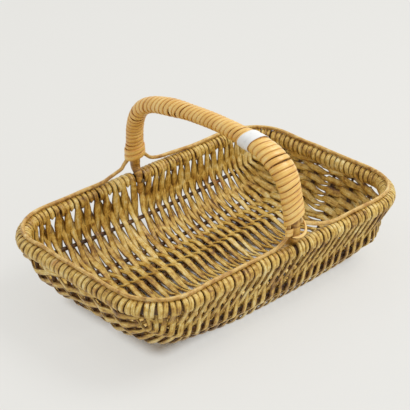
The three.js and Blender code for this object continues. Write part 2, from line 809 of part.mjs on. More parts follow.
addPiece("rim_hoop", cut(hoopGeometry(), [nailGeometry(1, clearance), nailGeometry(-1, clearance)]), hoopWood);
for (const rail of halfRails.filter((candidate) => candidate.rib)) {
  addPiece(`${rail.rib}_rib_far`, ribGeometry(rail, 1), hoopWood);
  addPiece(`${rail.rib}_rib_near`, ribGeometry(rail, -1), hoopWood);
}
for (let first = 0; first < stations.length; first += rowsPerStrip) {
  const nearEnd = first < endRows || first + rowsPerStrip > stations.length - endRows;
  const floorWidth = first + rowsPerStrip <= firstRightRow ? leftStripWidth : rightStripWidth;
  const number = String(first / rowsPerStrip + 1).padStart(2, "0");
  addPiece(`weaver_${number}`, weaverGeometry(first, nearEnd ? endStripWidth : floorWidth), willow);
}
addPiece("left_end_binding", endBindingGeometry("left_end_binding", -1), willowEnds);
addPiece("right_end_binding", endBindingGeometry("right_end_binding", 1), willowEnds);
addPiece("left_trim_rod", trimRodGeometry(-1, rodRoutes.farLeft, rodRoutes.nearLeft), rodWood);
addPiece("right_trim_rod", trimRodGeometry(1, rodRoutes.farRight, rodRoutes.nearRight), rodWood);
addPiece("near_rod_tie", rodTieGeometry(), cane);
addPiece("handle_bow", cut(bowGeometry(), [nailGeometry(1, clearance), nailGeometry(-1, clearance)]), hoopWood);
addPiece("far_nail", nailGeometry(1, 0), steel);
addPiece("near_nail", nailGeometry(-1, 0), steel);

// The cane is wound in lengths, each started where the last one ends.
const canePieces = [
  ["far_collar_cane", collarTurns],
  ["far_leg_cane", farLegTurns],
  ["grip_cane", caneTurns - collarTurns - farLegTurns - nearLegTurns],
  ["near_leg_cane", nearLegTurns],
];
let wound = collarStart;
for (const [name, turns] of canePieces) {
  const to = wound + turns * canePitch * (1 - 0.1 / turns);
  const winding = windingGeometry(name, bowAt, wound, to, turns - 0.1, 8, caneWidth, caneThickness);
  addPiece(name, winding, cane);
  wound += turns * canePitch;
}
addPiece("blank_label", labelGeometry(), paper);

export default trug;
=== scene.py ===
import math

import bpy
import numpy as np
from mathutils import Matrix, Vector


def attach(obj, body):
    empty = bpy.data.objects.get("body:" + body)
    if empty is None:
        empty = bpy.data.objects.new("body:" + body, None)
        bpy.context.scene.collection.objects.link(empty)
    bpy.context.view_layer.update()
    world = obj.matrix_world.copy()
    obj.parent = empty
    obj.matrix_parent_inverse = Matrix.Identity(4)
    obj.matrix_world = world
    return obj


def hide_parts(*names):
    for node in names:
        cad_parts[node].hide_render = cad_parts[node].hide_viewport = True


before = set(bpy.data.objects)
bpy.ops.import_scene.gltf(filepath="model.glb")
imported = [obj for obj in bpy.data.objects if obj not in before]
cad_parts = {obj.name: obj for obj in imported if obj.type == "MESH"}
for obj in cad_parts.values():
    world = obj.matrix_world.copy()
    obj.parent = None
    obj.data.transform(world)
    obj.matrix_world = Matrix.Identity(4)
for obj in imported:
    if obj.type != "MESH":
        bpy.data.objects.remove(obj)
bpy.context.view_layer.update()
mm = 0.001
print("frame loaded")


def addObject(name, data):
    made = bpy.data.objects.new(name, data)
    bpy.context.scene.collection.objects.link(made)
    return made


photoCamera = {
    "azimuth": -41.62,
    "elevation": 28.14,
    "roll": 1.767,
    "distance": 1653.1,
    "focalPixels": 1412.6,
    "framePixels": 410,
    "centre": (209.17, 203.65),  # where the view's axis meets the frame
    "lookAt": (0, 0, 99),
    "sensorWidth": 36,
    "clip": (0.05, 60),
}


def makeCamera(view):
    azimuth, elevation, roll = (math.radians(view[key]) for key in ("azimuth", "elevation", "roll"))
    level = Vector((math.cos(azimuth), math.sin(azimuth), 0))
    out = math.cos(elevation)
    back = Vector((math.sin(azimuth) * out, -math.cos(azimuth) * out, math.sin(elevation)))
    top = back.cross(level)
    right = level * math.cos(roll) - top * math.sin(roll)
    upward = level * math.sin(roll) + top * math.cos(roll)
    pixels = view["framePixels"]
    data = bpy.data.cameras.new("photoCamera")
    data.sensor_fit = "HORIZONTAL"
    data.sensor_width = view["sensorWidth"]
    data.lens = view["sensorWidth"] * view["focalPixels"] / pixels
    data.shift_x = (pixels / 2 - view["centre"][0]) / pixels
    data.shift_y = (view["centre"][1] - pixels / 2) / pixels
    data.clip_start, data.clip_end = view["clip"]
    camera = addObject("photoCamera", data)
    place = (Vector(view["lookAt"]) + back * view["distance"]) * mm
    turned = Matrix((right, upward, back)).transposed().to_4x4()
    camera.matrix_world = Matrix.Translation(place) @ turned
    bpy.context.scene.camera = camera


makeCamera(photoCamera)
print("camera placed")


# A socket that does sums, in shader trees and geometry trees alike.
class Wire:
    def __init__(self, maker, socket):
        self.maker, self.socket = maker, socket

    def sum(self, operation, *values):
        sockets = dict(enumerate(values))
        return self.maker.add("ShaderNodeMath", {"operation": operation}, sockets)["Value"]

    def __add__(self, other):
        return self.sum("ADD", self, other)

    def __sub__(self, other):
        return self.sum("SUBTRACT", self, other)

    def __rsub__(self, other):
        return self.sum("SUBTRACT", other, self)

    def __mul__(self, other):
        return self.sum("MULTIPLY", self, other)

    def __truediv__(self, other):
        return self.sum("DIVIDE", self, other)

    def __rtruediv__(self, other):
        return self.sum("DIVIDE", other, self)

    def __pow__(self, other):
        return self.sum("POWER", self, other)

    __radd__ = __add__
    __rmul__ = __mul__

    def size(self):
        return self.sum("ABSOLUTE", self)

    def most(self, other):
        return self.sum("MAXIMUM", self, other)

    # 0 below low, 1 above high
    def between(self, low, high):
        settings = {"interpolation_type": "SMOOTHSTEP"}
        sockets = {"Value": self, "From Min": low, "From Max": high}
        return self.maker.add("ShaderNodeMapRange", settings, sockets)["Result"]


def pickSocket(sockets, key):
    if isinstance(key, int):
        return sockets[key]
    return next(item for item in sockets if key in (item.identifier, item.name) and item.enabled)


class Made:
    def __init__(self, maker, node):
        self.maker, self.node = maker, node

    def __getitem__(self, key):
        return Wire(self.maker, pickSocket(self.node.outputs, key))


# Fills a node tree.
class Maker:
    def __init__(self, tree):
        self.tree = tree

    def add(self, kind, settings=None, sockets=None):
        node = self.tree.nodes.new(kind)
        for key, value in (settings or {}).items():
            if key == "stops":
                ramp = node.color_ramp.elements
                while len(ramp) < len(value):
                    ramp.new(0.5)
                for element, (position, colour) in zip(ramp, value):
                    element.position, element.color = position, colour
            elif key == "captures":
                for dataType, name in value:
                    node.capture_items.new(dataType, name)
            else:
                setattr(node, key, value)
        for key, value in (sockets or {}).items():
            socket = pickSocket(node.inputs, key)
            if isinstance(value, Wire):
                self.tree.links.new(value.socket, socket)
            else:
                socket.default_value = value
        return Made(self, node)

    # A geometry node that passes its geometry on.
    def through(self, kind, geometry, sockets=None, settings=None):
        sockets = {"Geometry": geometry, **(sockets or {})}
        return self.add(f"GeometryNode{kind}", settings, sockets)["Geometry"]

    def store(self, geometry, name, value, dataType="FLOAT"):
        sockets = {"Name": name, "Value": value}
        return self.through("StoreNamedAttribute", geometry, sockets, {"data_type": dataType})

    def stored(self, name, dataType="FLOAT"):
        kind = "GeometryNodeInputNamedAttribute"
        return self.add(kind, {"data_type": dataType}, {"Name": name})["Attribute"]

    def vector(self, operation, *values, scale=None):
        sockets = dict(enumerate(values))
        if scale is not None:
            sockets["Scale"] = scale
        return self.add("ShaderNodeVectorMath", {"operation": operation}, sockets)["Vector"]

    def scaled(self, direction, amount):
        return self.vector("SCALE", direction, scale=amount)

    def shifted(self, place, direction, amount):
        return self.vector("ADD", place, self.scaled(direction, amount))

    def joined(self, x, y, z):
        return self.add("ShaderNodeCombineXYZ", None, {0: x, 1: y, 2: z})["Vector"]

    def apart(self, vector):
        return self.add("ShaderNodeSeparateXYZ", None, {"Vector": vector})

    def place(self):
        return self.add("ShaderNodeTexCoord")["Object"]

    def blend(self, mode, factor, first, second):
        settings = {"data_type": "RGBA", "blend_type": mode}
        sockets = {"Factor_Float": factor, "A_Color": first, "B_Color": second}
        return self.add("ShaderNodeMix", settings, sockets)["Result_Color"]

    def noise(self, place, scale, detail, roughness, seed=0.0):
        sockets = {"Vector": place, "Scale": scale, "Detail": detail, "Roughness": roughness}
        settings = {"noise_dimensions": "4D"}
        return self.add("ShaderNodeTexNoise", settings, {**sockets, "W": seed})["Fac"]

    def bump(self, look, height):
        strength, distance = look["bump"]
        sockets = {"Strength": strength, "Distance": distance, "Height": height}
        return self.add("ShaderNodeBump", None, sockets)["Normal"]

    def close(self, sockets):
        shader = self.add("ShaderNodeBsdfPrincipled", None, sockets)
        self.add("ShaderNodeOutputMaterial", None, {"Surface": shader["BSDF"]})


# An sRGB colour, of 255, as the linear one that a node takes.
def paint(*colour):
    shares = (value / 255 for value in colour)
    linear = (s / 12.92 if s <= 0.04045 else ((s + 0.055) / 1.055) ** 2.4 for s in shares)
    return (*linear, 1.0)


def newTree(name, inputs):
    tree = bpy.data.node_groups.new(name, "GeometryNodeTree")
    for way in ("OUTPUT", "INPUT"):
        tree.interface.new_socket(name="Geometry", in_out=way, socket_type="NodeSocketGeometry")
    for label, kind in inputs.items():
        tree.interface.new_socket(name=label, in_out="INPUT", socket_type=f"NodeSocket{kind}")
    maker = Maker(tree)
    return tree, maker, maker.add("NodeGroupInput")


# What each piece's "sweep" gives in this order, apart from the seed.
sweepInputs = {
    "Sides": "Int",
    "Crown": "Float",  # 1 gives an oval section, less a flatter one
    "Lump": "Float",
    "Lump Length": "Float",
    "Drift": "Float",
    "Seed": "Float",
}
lumpSeeds = (0, 9, 18)  # for the width, the thickness and the drift
toneSeeds = 40


# Sweeps an oval band along a curve: its width lies across the "facing" attribute.
def makeSweepGroup():
    tree, maker, given = newTree("sweepBand", sweepInputs)
    position = maker.add("GeometryNodeInputPosition")["Position"]
    path = maker.add(
        "GeometryNodeCaptureAttribute",
        {"captures": [("VECTOR", "Centre"), ("VECTOR", "Tangent"), ("FLOAT", "Length")]},
        {
            "Geometry": given["Geometry"],
            "Centre": position,
            "Tangent": maker.add("GeometryNodeInputTangent")["Tangent"],
            "Length": maker.add("GeometryNodeSplineParameter")["Length"],
        },
    )
    sockets = {"Resolution": given["Sides"], "Radius": mm}
    circle = maker.add("GeometryNodeCurvePrimitiveCircle", {"mode": "RADIUS"}, sockets)["Curve"]
    section = maker.add(
        "GeometryNodeCaptureAttribute",
        {"captures": [("VECTOR", "Section")]},
        {"Geometry": circle, "Section": position},
    )
    sockets = {"Curve": path["Geometry"], "Profile Curve": section["Geometry"], "Fill Caps": True}
    swept = maker.add("GeometryNodeCurveToMesh", None, sockets)["Mesh"]
    split = maker.apart(section["Section"])
    rise, across = split["X"] * (1 / mm), split["Y"] * (1 / mm)
    tone = maker.stored("tone")
    facing = maker.stored("facing", "FLOAT_VECTOR")
    aside = maker.vector("NORMALIZE", maker.vector("CROSS_PRODUCT", path["Tangent"], facing))
    outward = maker.vector("CROSS_PRODUCT", aside, path["Tangent"])
    scale = 1 / given["Lump Length"]
    seeds = [given["Seed"] + tone * toneSeeds + seed for seed in lumpSeeds]
    lumps = [maker.noise(path["Centre"], scale, 1.0, 0.5, seed) - 0.5 for seed in seeds]
    width = maker.stored("bandWidth") * (1 + lumps[0] * given["Lump"])
    thickness = maker.stored("bandThickness") * (1 + lumps[1] * given["Lump"])
    crowned = rise.sum("SIGN", rise) * rise.size() ** given["Crown"]
    moved = maker.shifted(path["Centre"], outward, crowned * thickness * 0.5)
    moved = maker.shifted(moved, aside, across * width * 0.5 + lumps[2] * given["Drift"])
    placed = maker.through("SetPosition", swept, {"Position": moved})
    placed = maker.store(placed, "along", path["Length"])
    placed = maker.store(placed, "across", across)
    smoothed = maker.through("SetShadeSmooth", placed, {"Shade Smooth": True})
    maker.add("NodeGroupOutput", None, {"Geometry": smoothed})
    return tree


def meshCurve(maker, given):
    return maker.add("GeometryNodeMeshToCurve", None, {"Mesh": given["Geometry"]})["Curve"]


def finishTree(maker, sweepGroup, given, curve):
    sockets = {name: given[name] for name in sweepInputs}
    swept = maker.through("Group", curve, sockets, {"node_tree": sweepGroup})
    real = maker.through("RealizeInstances", swept)
    painted = maker.through("SetMaterial", real, {"Material": given["Material"]})
    maker.add("NodeGroupOutput", None, {"Geometry": painted})


# Strands follow the edges of a mesh.
def makeStrandTree(sweepGroup):
    tree, maker, given = newTree("strands", {**sweepInputs, "Material": "Material"})
    finishTree(maker, sweepGroup, given, meshCurve(maker, given))
    return tree


# A winding goes round the edges of a mesh, once for every so many of its points.
def makeWindingTree(sweepGroup):
    inputs = {"Material": "Material", "Steps Per Turn": "Int", "Start Turn": "Float"}
    tree, maker, given = newTree("winding", {**sweepInputs, **inputs})
    curve = meshCurve(maker, given)
    index = maker.add("GeometryNodeInputIndex")["Index"]
    angle = (index / given["Steps Per Turn"] + given["Start Turn"]) * (2 * math.pi)
    cosine, sine = angle.sum("COSINE", angle), angle.sum("SINE", angle)
    wide, deep = (maker.stored(name, "FLOAT_VECTOR") for name in ("wideAxis", "deepAxis"))
    wideReach, deepReach = maker.stored("wideReach"), maker.stored("deepReach")
    offset = maker.shifted(maker.scaled(wide, cosine * wideReach), deep, sine * deepReach)
    outward = maker.shifted(maker.scaled(wide, cosine * deepReach), deep, sine * wideReach)
    faced = maker.store(curve, "facing", maker.vector("NORMALIZE", outward), "FLOAT_VECTOR")
    wound = maker.through("SetPosition", faced, {"Offset": offset})
    finishTree(maker, sweepGroup, given, wound)
    return tree


sweepGroup = makeSweepGroup()
strandTree = makeStrandTree(sweepGroup)
windingTree = makeWindingTree(sweepGroup)
stepsPerTurn = 18
print("geometry trees made")


# A mesh of edges only, with values on its points.
def pathMesh(name, path):
    count = len(path["points"])
    edges = [(i, i + 1) for i in range(count - 1)]
    if path.get("closed"):
        edges.append((count - 1, 0))
    mesh = bpy.data.meshes.new(name)
    mesh.from_pydata((path["points"] * mm).tolist(), edges, [])
    for key, values in path["values"].items():
        kind, field = ("FLOAT_VECTOR", "vector") if values.ndim == 2 else ("FLOAT", "value")
        attribute = mesh.attributes.new(key, kind, "POINT")
        attribute.data.foreach_set(field, values.astype(np.float32).ravel())
    return addObject(name, mesh)


def turnOutwards(mesh):
    mesh.calc_loop_triangles()
    points = np.empty(len(mesh.vertices) * 3)
    mesh.vertices.foreach_get("co", points)
    corners = np.empty(len(mesh.loop_triangles) * 3, int)
    mesh.loop_triangles.foreach_get("vertices", corners)
    a, b, c = points.reshape(-1, 3)[corners.reshape(-1, 3)].transpose(1, 0, 2)
    if np.einsum("ij,ij->", a, np.cross(b, c)) < 0:
        mesh.flip_normals()


# Runs a tree on a piece and keeps the result as its plain mesh.
def grow(piece, tree, values):
    modifier = piece.modifiers.new("grow", "NODES")
    modifier.node_group = tree
    for item in tree.interface.items_tree:
        if item.in_out == "INPUT" and item.name in values:
            modifier[item.identifier] = values[item.name]
    evaluated = piece.evaluated_get(bpy.context.evaluated_depsgraph_get())
    grown = bpy.data.meshes.new_from_object(evaluated)
    piece.modifiers.clear()
    old, piece.data = piece.data, grown
    bpy.data.meshes.remove(old)
    grown.name = piece.name
    turnOutwards(grown)
    return piece


def settle(piece, slot, *nodes):
    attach(piece, "root")
    if nodes:
        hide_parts(*nodes)
    return piece


# A piece with a start turn is a winding, any other a strand.
def dress(name, path, sweep, seed, material, slot, *nodes, startTurn=None):
    values = dict(zip(sweepInputs, (*sweep, float(seed))))
    values |= {"Material": material, "Steps Per Turn": stepsPerTurn, "Start Turn": startTurn}
    tree = strandTree if startTurn is None else windingTree
    settle(grow(pathMesh(name, path), tree, values), slot, *nodes)


def newMaterial(name):
    material = bpy.data.materials.new(name)
    material.use_nodes = True
    material.node_tree.nodes.clear()
    return material, Maker(material.node_tree)


willowLook = {
    "colours": {
        0: (112, 72, 20),
        0.25: (174, 129, 44),
        0.5: (216, 176, 78),
        0.75: (236, 205, 114),
        1: (249, 230, 164),
    },
    "streakRun": 38,
    "streakCross": 2.2,
    "grainRun": 130,
    "grainCross": 9,
    "toneShift": 57,
    "patchScale": 34,
    "mottleScale": 150,
    "toneShare": 0.08,
    "streakShare": 0.7,
    "patchShare": 0.6,
    "mottleShare": 0.85,
    "spineShare": 0.12,  # how much paler the middle of a strand is than its sides: a painted highlight
    "middle": 1.1,
    "contrast": 2.1,
    "stain": (190, 116, 44),
    "stainScale": 46,
    "stainStart": 0.6,
    "stainFade": 0.12,
    "stainShare": 0.55,
    # painted shade: the colour that darkens the strands' edges
    "edge": (104, 72, 28),
    "edgeShare": 0.62,
    "grain": (176, 130, 66),
    "grainShare": 0.4,
    "grainHeight": 0.8,
    "streakHeight": 0.6,
    "mottleHeight": 1.2,
    "bump": (0.9, 0.0006),  # strength and depth
    "roughness": 0.42,
    "roughnessSpread": 0.22,
    "coat": 0.2,
    "coatRoughness": 0.35,
    "specular": 0.5,
}
willowPaleLook = {
    "colours": {
        0: (126, 82, 24),
        0.25: (182, 137, 49),
        0.5: (222, 183, 86),
        0.75: (240, 209, 122),
        1: (251, 234, 172),
    },
}
caneLook = {
    "colours": {
        0: (208, 152, 62),
        0.3: (234, 186, 92),
        0.55: (246, 208, 122),
        0.8: (252, 222, 148),
        1: (255, 234, 178),
    },
    "streakRun": 24,
    "streakShare": 0.9,
    "patchShare": 0.7,
    "mottleShare": 0.3,
    "middle": 1.05,
    "contrast": 1.4,
    "mottleHeight": 0.3,
    "stain": (206, 138, 56),
    "stainStart": 0.62,
    "stainShare": 0.5,
    # painted shade: the colour that darkens the cane bands' edges
    "edge": (206, 140, 58),
    "edgeShare": 0.5,
    "grain": (232, 188, 112),
    "bump": (0.4, 0.0006),
    "roughness": 0.34,
    "coat": 0.4,
}
# the ribs' and hoop's dark colours: partly their own darker wood, partly painted shade that darkens
# the gaps where they show
ribLook = {
    "colours": {0: (50, 31, 13), 0.35: (80, 53, 25), 0.7: (112, 78, 38), 1: (146, 108, 58)},
    "edgeShare": 0.1,
    "roughness": 0.62,
    "coat": 0,
}
rodLook = {
    "colours": {
        0: (138, 90, 34),
        0.25: (192, 142, 64),
        0.5: (224, 182, 98),
        0.75: (238, 204, 128),
        1: (247, 224, 164),
    },
    "streakRun": 30,
    "patchScale": 60,
    "contrast": 1.7,
    "stain": (84, 56, 34),
    "stainStart": 0.66,
    "stainShare": 0.7,
    "edgeShare": 0.15,
    "roughness": 0.44,
    "coat": 0.15,
}
coreLook = {
    "colours": {0: (146, 102, 34), 0.3: (194, 144, 56), 0.6: (220, 174, 80), 1: (236, 200, 112)},
    "streakRun": 330,
    "streakCross": 0.3,
    "streakShare": 1.3,
    "streakHeight": 3.0,
    "middle": 1.5,
    "edgeShare": 0.2,
}


# Wood or cane in strands: streaks run along it, its colour changes from strand to strand and in
# patches, its edges are darker with painted shade and its middle paler with a painted highlight.
def makeStrandMaterial(name, changes):
    look = {**willowLook, **changes}
    material, maker = newMaterial(name)
    along, across, tone = (
        maker.add("ShaderNodeAttribute", {"attribute_name": key})["Fac"]
        for key in ("along", "across", "tone")
    )
    place = maker.place()
    shift = tone * look["toneShift"]
    streakPlace = maker.joined(along * look["streakRun"], across * look["streakCross"], shift)
    grainPlace = maker.joined(along * look["grainRun"], across * look["grainCross"], shift)
    streak = maker.noise(streakPlace, 1.0, 3.0, 0.6)
    grain = maker.noise(grainPlace, 1.0, 2.0, 0.7, 5.0)
    patch = maker.noise(place, look["patchScale"], 2.0, 0.5, 2.0)
    mottle = maker.noise(place, look["mottleScale"], 3.0, 0.65, 7.0)
    spots = maker.noise(place, look["stainScale"], 3.0, 0.6, 11.0)
    shade = tone * look["toneShare"] + streak * look["streakShare"]
    shade = shade + patch * look["patchShare"] + mottle * look["mottleShare"]
    shade = (shade - look["middle"]) * look["contrast"] + 0.5
    # a painted highlight down the middle of each strand
    shade = shade + (0.5 - across.size().between(0.1, 0.8)) * look["spineShare"]
    stops = [(position, paint(*colour)) for position, colour in look["colours"].items()]
    colour = maker.add("ShaderNodeValToRGB", {"stops": stops}, {"Fac": shade})["Color"]
    stained = spots.between(look["stainStart"], look["stainStart"] + look["stainFade"])
    for key, mode, mask in (
        ("stain", "MIX", stained),
        # painted shade darkening each strand's edges
        ("edge", "MULTIPLY", across.size().between(0.62, 1.0)),
        ("grain", "MULTIPLY", 1 - grain.between(0.3, 0.62)),
    ):
        colour = maker.blend(mode, mask * look[f"{key}Share"], colour, paint(*look[key]))
    height = grain * look["grainHeight"] + streak * look["streakHeight"]
    height = height + mottle * look["mottleHeight"]
    maker.close(
        {
            "Base Color": colour,
            "Roughness": look["roughness"] + (streak - 0.5) * look["roughnessSpread"],
            "Normal": maker.bump(look, height),
            "Coat Weight": look["coat"],
            "Coat Roughness": look["coatRoughness"],
            "Specular IOR Level": look["specular"],
        }
    )
    return material


willow = makeStrandMaterial("willow", willowLook)
willowPale = makeStrandMaterial("willowPale", willowPaleLook)
caneMaterial = makeStrandMaterial("cane", caneLook)
ribMaterial = makeStrandMaterial("ribWood", ribLook)
rodMaterial = makeStrandMaterial("rodWood", rodLook)
coreMaterial = makeStrandMaterial("bowWood", coreLook)

paperLook = {
    "colour": (238, 238, 236),
    # painted shade: the grey laid over the paper following its crease pattern
    "crease": (214, 214, 212),
    "creased": (0.55, 0.75),
    "creaseShare": 0.5,
    "fibreHeight": 0.3,
    "bump": (0.35, 0.0005),
    "roughness": 0.62,
    "roughnessSpread": 0.1,
}


def makePaper(look):
    material, maker = newMaterial("paper")
    place = maker.place()
    creases = maker.noise(place, 160, 3.0, 0.6)
    fibres = maker.noise(place, 900, 2.0, 0.7, 4.0)
    # painted shade: the paper turns grey where the crease pattern is high
    share = creases.between(*look["creased"]) * look["creaseShare"]
    maker.close(
        {
            "Base Color": maker.blend("MIX", share, paint(*look["colour"]), paint(*look["crease"])),
            "Roughness": look["roughness"] + fibres * look["roughnessSpread"],
            "Normal": maker.bump(look, creases + fibres * look["fibreHeight"]),
        }
    )
    return material


steelLook = {
    "colour": (150, 148, 144),
    "rust": (112, 84, 62),
    "rusted": (0.52, 0.7),
    "rustShare": 0.6,
    "dullShare": 0.5,
    "bump": (0.3, 0.0003),
    "roughness": 0.36,
    "roughnessSpread": 0.2,
}


def makeSteel(look):
    material, maker = newMaterial("steel")
    spots = maker.noise(maker.place(), 700, 3.0, 0.6)
    rusted = spots.between(*look["rusted"])
    share = rusted * look["rustShare"]
    maker.close(
        {
            "Base Color": maker.blend("MIX", share, paint(*look["colour"]), paint(*look["rust"])),
            "Metallic": 1 - rusted * look["dullShare"],
            "Roughness": look["roughness"] + spots * look["roughnessSpread"],
            "Normal": maker.bump(look, spots),
        }
    )
    return material


paper = makePaper(paperLook)
steel = makeSteel(steelLook)
print("finishes made")


# The basket's lines, as in the solids.
basket = {
    "hoopZ": 87.2,
    "halfLength": 200,
    "halfWidth": 131.5,
    "rimCorner": 55,
    "flatHalf": 139,
    "bendLength": 69,
    "nearSag": 4.7,
    "nearSpread": 4,
    "nearLift": 3,
    "lift": (40, 120),
    "rightRocker": (20, 0.08),
    "leftRocker": (40, 0.12),
    "rockerLength": 120,
    "leftPitch": 7.4,
    "rightPitch": 5.85,
    "lastRowTurns": (1.38, 1.43),
    "leftRows": 19,
    "rightRows": 23,
    "endRows": (11, 17),
    "footX": {1: -2.5, -1: 8.5},  # the far foot and the near one
    "footParting": {1: (8.2, 5.2), -1: (5.2, 5.2)},
    "footClosing": 0.8,  # what the turns outside the near foot take back of that
    "closingLength": 34,
    "footFadeLength": 60,
    "footFades": {(1, "wall"): 0.16, (1, "bulge"): 0.05, (-1, "wall"): 0.08},
    "hoopEndShare": 0.72,
    "wallSlantLength": 125,
}
cornerStart = basket["halfLength"] - basket["rimCorner"]
cornerRun = basket["rimCorner"] * math.pi / 2
shortSide = 2 * (basket["halfWidth"] - basket["rimCorner"])
halfRim = cornerStart + cornerRun + shortSide / 2
rodZ = 98.9


# "nearLean" is how far the rows lie towards -X there, on the near side.
def rail(y, depth, endY, nearLean, near=0, endX=200, share=1.0, rib=None, fade=None):
    line = {"y": y, "depth": depth, "endY": endY, "near": near, "endX": endX, "share": share}
    return {**line, "rib": rib, "fade": fade, "nearLean": nearLean}


halfRails = [
    rail(6, 86.3, 6, 0),
    rail(32, 79.3, 15, 5, rib="inner"),
    rail(60, 81.51, 45, 11, rib="middle"),
    rail(87, 76.8, 75, 18, near=1, share=0.95, rib="outer"),
    rail(105, 66, 92, 23, near=0.9, endX=196, share=0.9, fade="bulge"),
    rail(119.5, 49.3, 104, 18, near=0.3, endX=192, share=0.8, rib="wall", fade="wall"),
]


def mix(a, b, t):
    return a + (b - a) * t


def smooth(value):
    t = min(1.0, max(0.0, value))
    return t * t * (3 - 2 * t)


def unit(vector):
    return vector / np.linalg.norm(vector)


def railPoint(line, station, side):
    end = -1 if station < 0 else 1
    flat, near = basket["flatHalf"], line["near"] if side < 0 else 0
    turn = max(0, abs(station) - flat) * line["share"] / basket["bendLength"]
    x = end * (min(abs(station), flat) + (line["endX"] - flat) * math.sin(turn))
    drawnIn = smooth(turn / (line["share"] * 1.25))
    y = side * mix(line["y"] + near * basket["nearSpread"], line["endY"], drawnIn)
    start, share = basket["rightRocker"] if end > 0 else basket["leftRocker"]
    rise = min(1, max(0, abs(x) - start) / basket["rockerLength"])
    liftStart, liftLength = basket["lift"]
    lifted = smooth((-station - liftStart) / liftLength)
    sag = mix(basket["nearSag"], -basket["nearLift"], lifted)
    depth = (line["depth"] + near * sag) * (1 - share * rise * rise) * math.cos(turn)
    return np.array([x, y, basket["hoopZ"] - depth])


def rowStations():
    left, right, (leftEnd, rightEnd) = basket["leftPitch"], basket["rightPitch"], basket["endRows"]
    leftEdge = left / 2 + (basket["leftRows"] - 1) * left
    rightEdge = right / 2 + (basket["rightRows"] - 1) * right
    lastRows = (basket["flatHalf"] + turn * basket["bendLength"] for turn in basket["lastRowTurns"])
    leftLast, rightLast = lastRows
    leftPitch, rightPitch = (leftLast - leftEdge) / leftEnd, (rightLast - rightEdge) / rightEnd
    return (
        [-leftEdge - k * leftPitch for k in range(leftEnd, 0, -1)]
        + [-leftEdge + k * left for k in range(basket["leftRows"])]
        + [right / 2 + k * right for k in range(basket["rightRows"])]
        + [rightEdge + k * rightPitch for k in range(1, rightEnd + 1)]
    )


stations = rowStations()
firstRightRow = basket["endRows"][0] + basket["leftRows"]
rowCount = len(stations)


def rowsBeside(row):
    return max(0, row - 1), min(rowCount - 1, row + 1)


# The rows part round the handle's feet.
def footShift(row, side):
    before = firstRightRow - 2 if side > 0 else firstRightRow + 1
    gapX = (stations[before] + stations[before + 1]) / 2
    leftParting, rightParting = basket["footParting"][side]
    parting = rightParting if row > before else -leftParting
    fade = math.exp(-(((stations[row] - gapX) / basket["footFadeLength"]) ** 2))
    return (basket["footX"][side] - gapX + parting) * fade


# A row's place along the rim, counted from the middle of its long side; it is negative towards -X.
def rimPlace(row, side):
    station, flat = stations[row], basket["flatHalf"]
    end = -1 if station < 0 else 1
    beyond = max(0, abs(station) - flat) * basket["hoopEndShare"]
    return end * (min(abs(station), flat) + beyond) + footShift(row, side)


# A point of the hoop's centre line, and the way out from there.
def rimAt(place, side):
    run, end = abs(place), -1 if place < 0 else 1
    corner, halfWidth, halfLength = basket["rimCorner"], basket["halfWidth"], basket["halfLength"]
    beyond = run - cornerStart - cornerRun
    if run <= cornerStart:
        x, y, turn = run, halfWidth, 0
    elif run <= cornerStart + cornerRun:
        turn = (run - cornerStart) / corner
        x, y = cornerStart + corner * math.sin(turn), halfWidth - corner + corner * math.cos(turn)
    elif run <= cornerStart + cornerRun + shortSide:
        x, y, turn = halfLength, shortSide / 2 - beyond, math.pi / 2
    else:
        turn = math.pi / 2 + (beyond - shortSide) / corner
        x, y = cornerStart + corner * math.sin(turn), -shortSide / 2 + corner * math.cos(turn)
    outward = np.array([end * math.sin(turn), side * math.cos(turn), 0])
    return np.array([end * x, side * y, basket["hoopZ"]]), outward


def control(point, facing, width, thickness):
    return {"point": point, "facing": facing, "width": width, "thickness": thickness}


def roundControl(point, radius, facing=(0, 0, 1.0)):
    return control(point, np.array(facing, float), 2 * radius, 2 * radius)


# The spans of a centripetal curve between its second and third point.
curveSpans = (((0, 1), (1, 2), (2, 3)), ((0, 2), (1, 3)), ((1, 2),))


# Draws a smooth line through points; the other values change from point to point.
def threaded(controls, spacing):
    points = np.array([control["point"] for control in controls], float)
    padded = np.vstack([2 * points[0] - points[1], points, 2 * points[-1] - points[-2]])
    facings = np.array([control["facing"] for control in controls], float)
    for i in range(1, len(facings)):
        if facings[i] @ facings[i - 1] < 0:
            facings[i:] *= -1
    sizes = np.array([(control["width"], control["thickness"]) for control in controls], float)
    made, madeFacing, madeSize = [], [], []
    for i in range(len(points) - 1):
        near = padded[i : i + 4]
        steps = (max(np.linalg.norm(step) ** 0.5, 1e-6) for step in np.diff(near, axis=0))
        knots = np.cumsum([0, *steps])
        count = max(1, round(np.linalg.norm(near[2] - near[1]) / spacing))
        last = i == len(points) - 2
        for k in range(count + (1 if last else 0)):
            t = mix(knots[1], knots[2], k / count)
            level = list(near)
            for spans in curveSpans:
                level = [
                    p + (q - p) * (t - knots[low]) / (knots[high] - knots[low])
                    for p, q, (low, high) in zip(level, level[1:], spans)
                ]
            made.append(level[0])
            madeFacing.append(unit(mix(facings[i], facings[i + 1], k / count)))
            madeSize.append(mix(sizes[i], sizes[i + 1], smooth(k / count)))
    widths, thicknesses = np.array(madeSize).T * mm
    values = {"facing": np.array(madeFacing), "bandWidth": widths, "bandThickness": thicknesses}
    return {"points": np.array(made), "values": values}


def toned(path, tone):
    path["values"]["tone"] = np.full(len(path["points"]), tone)
    return path


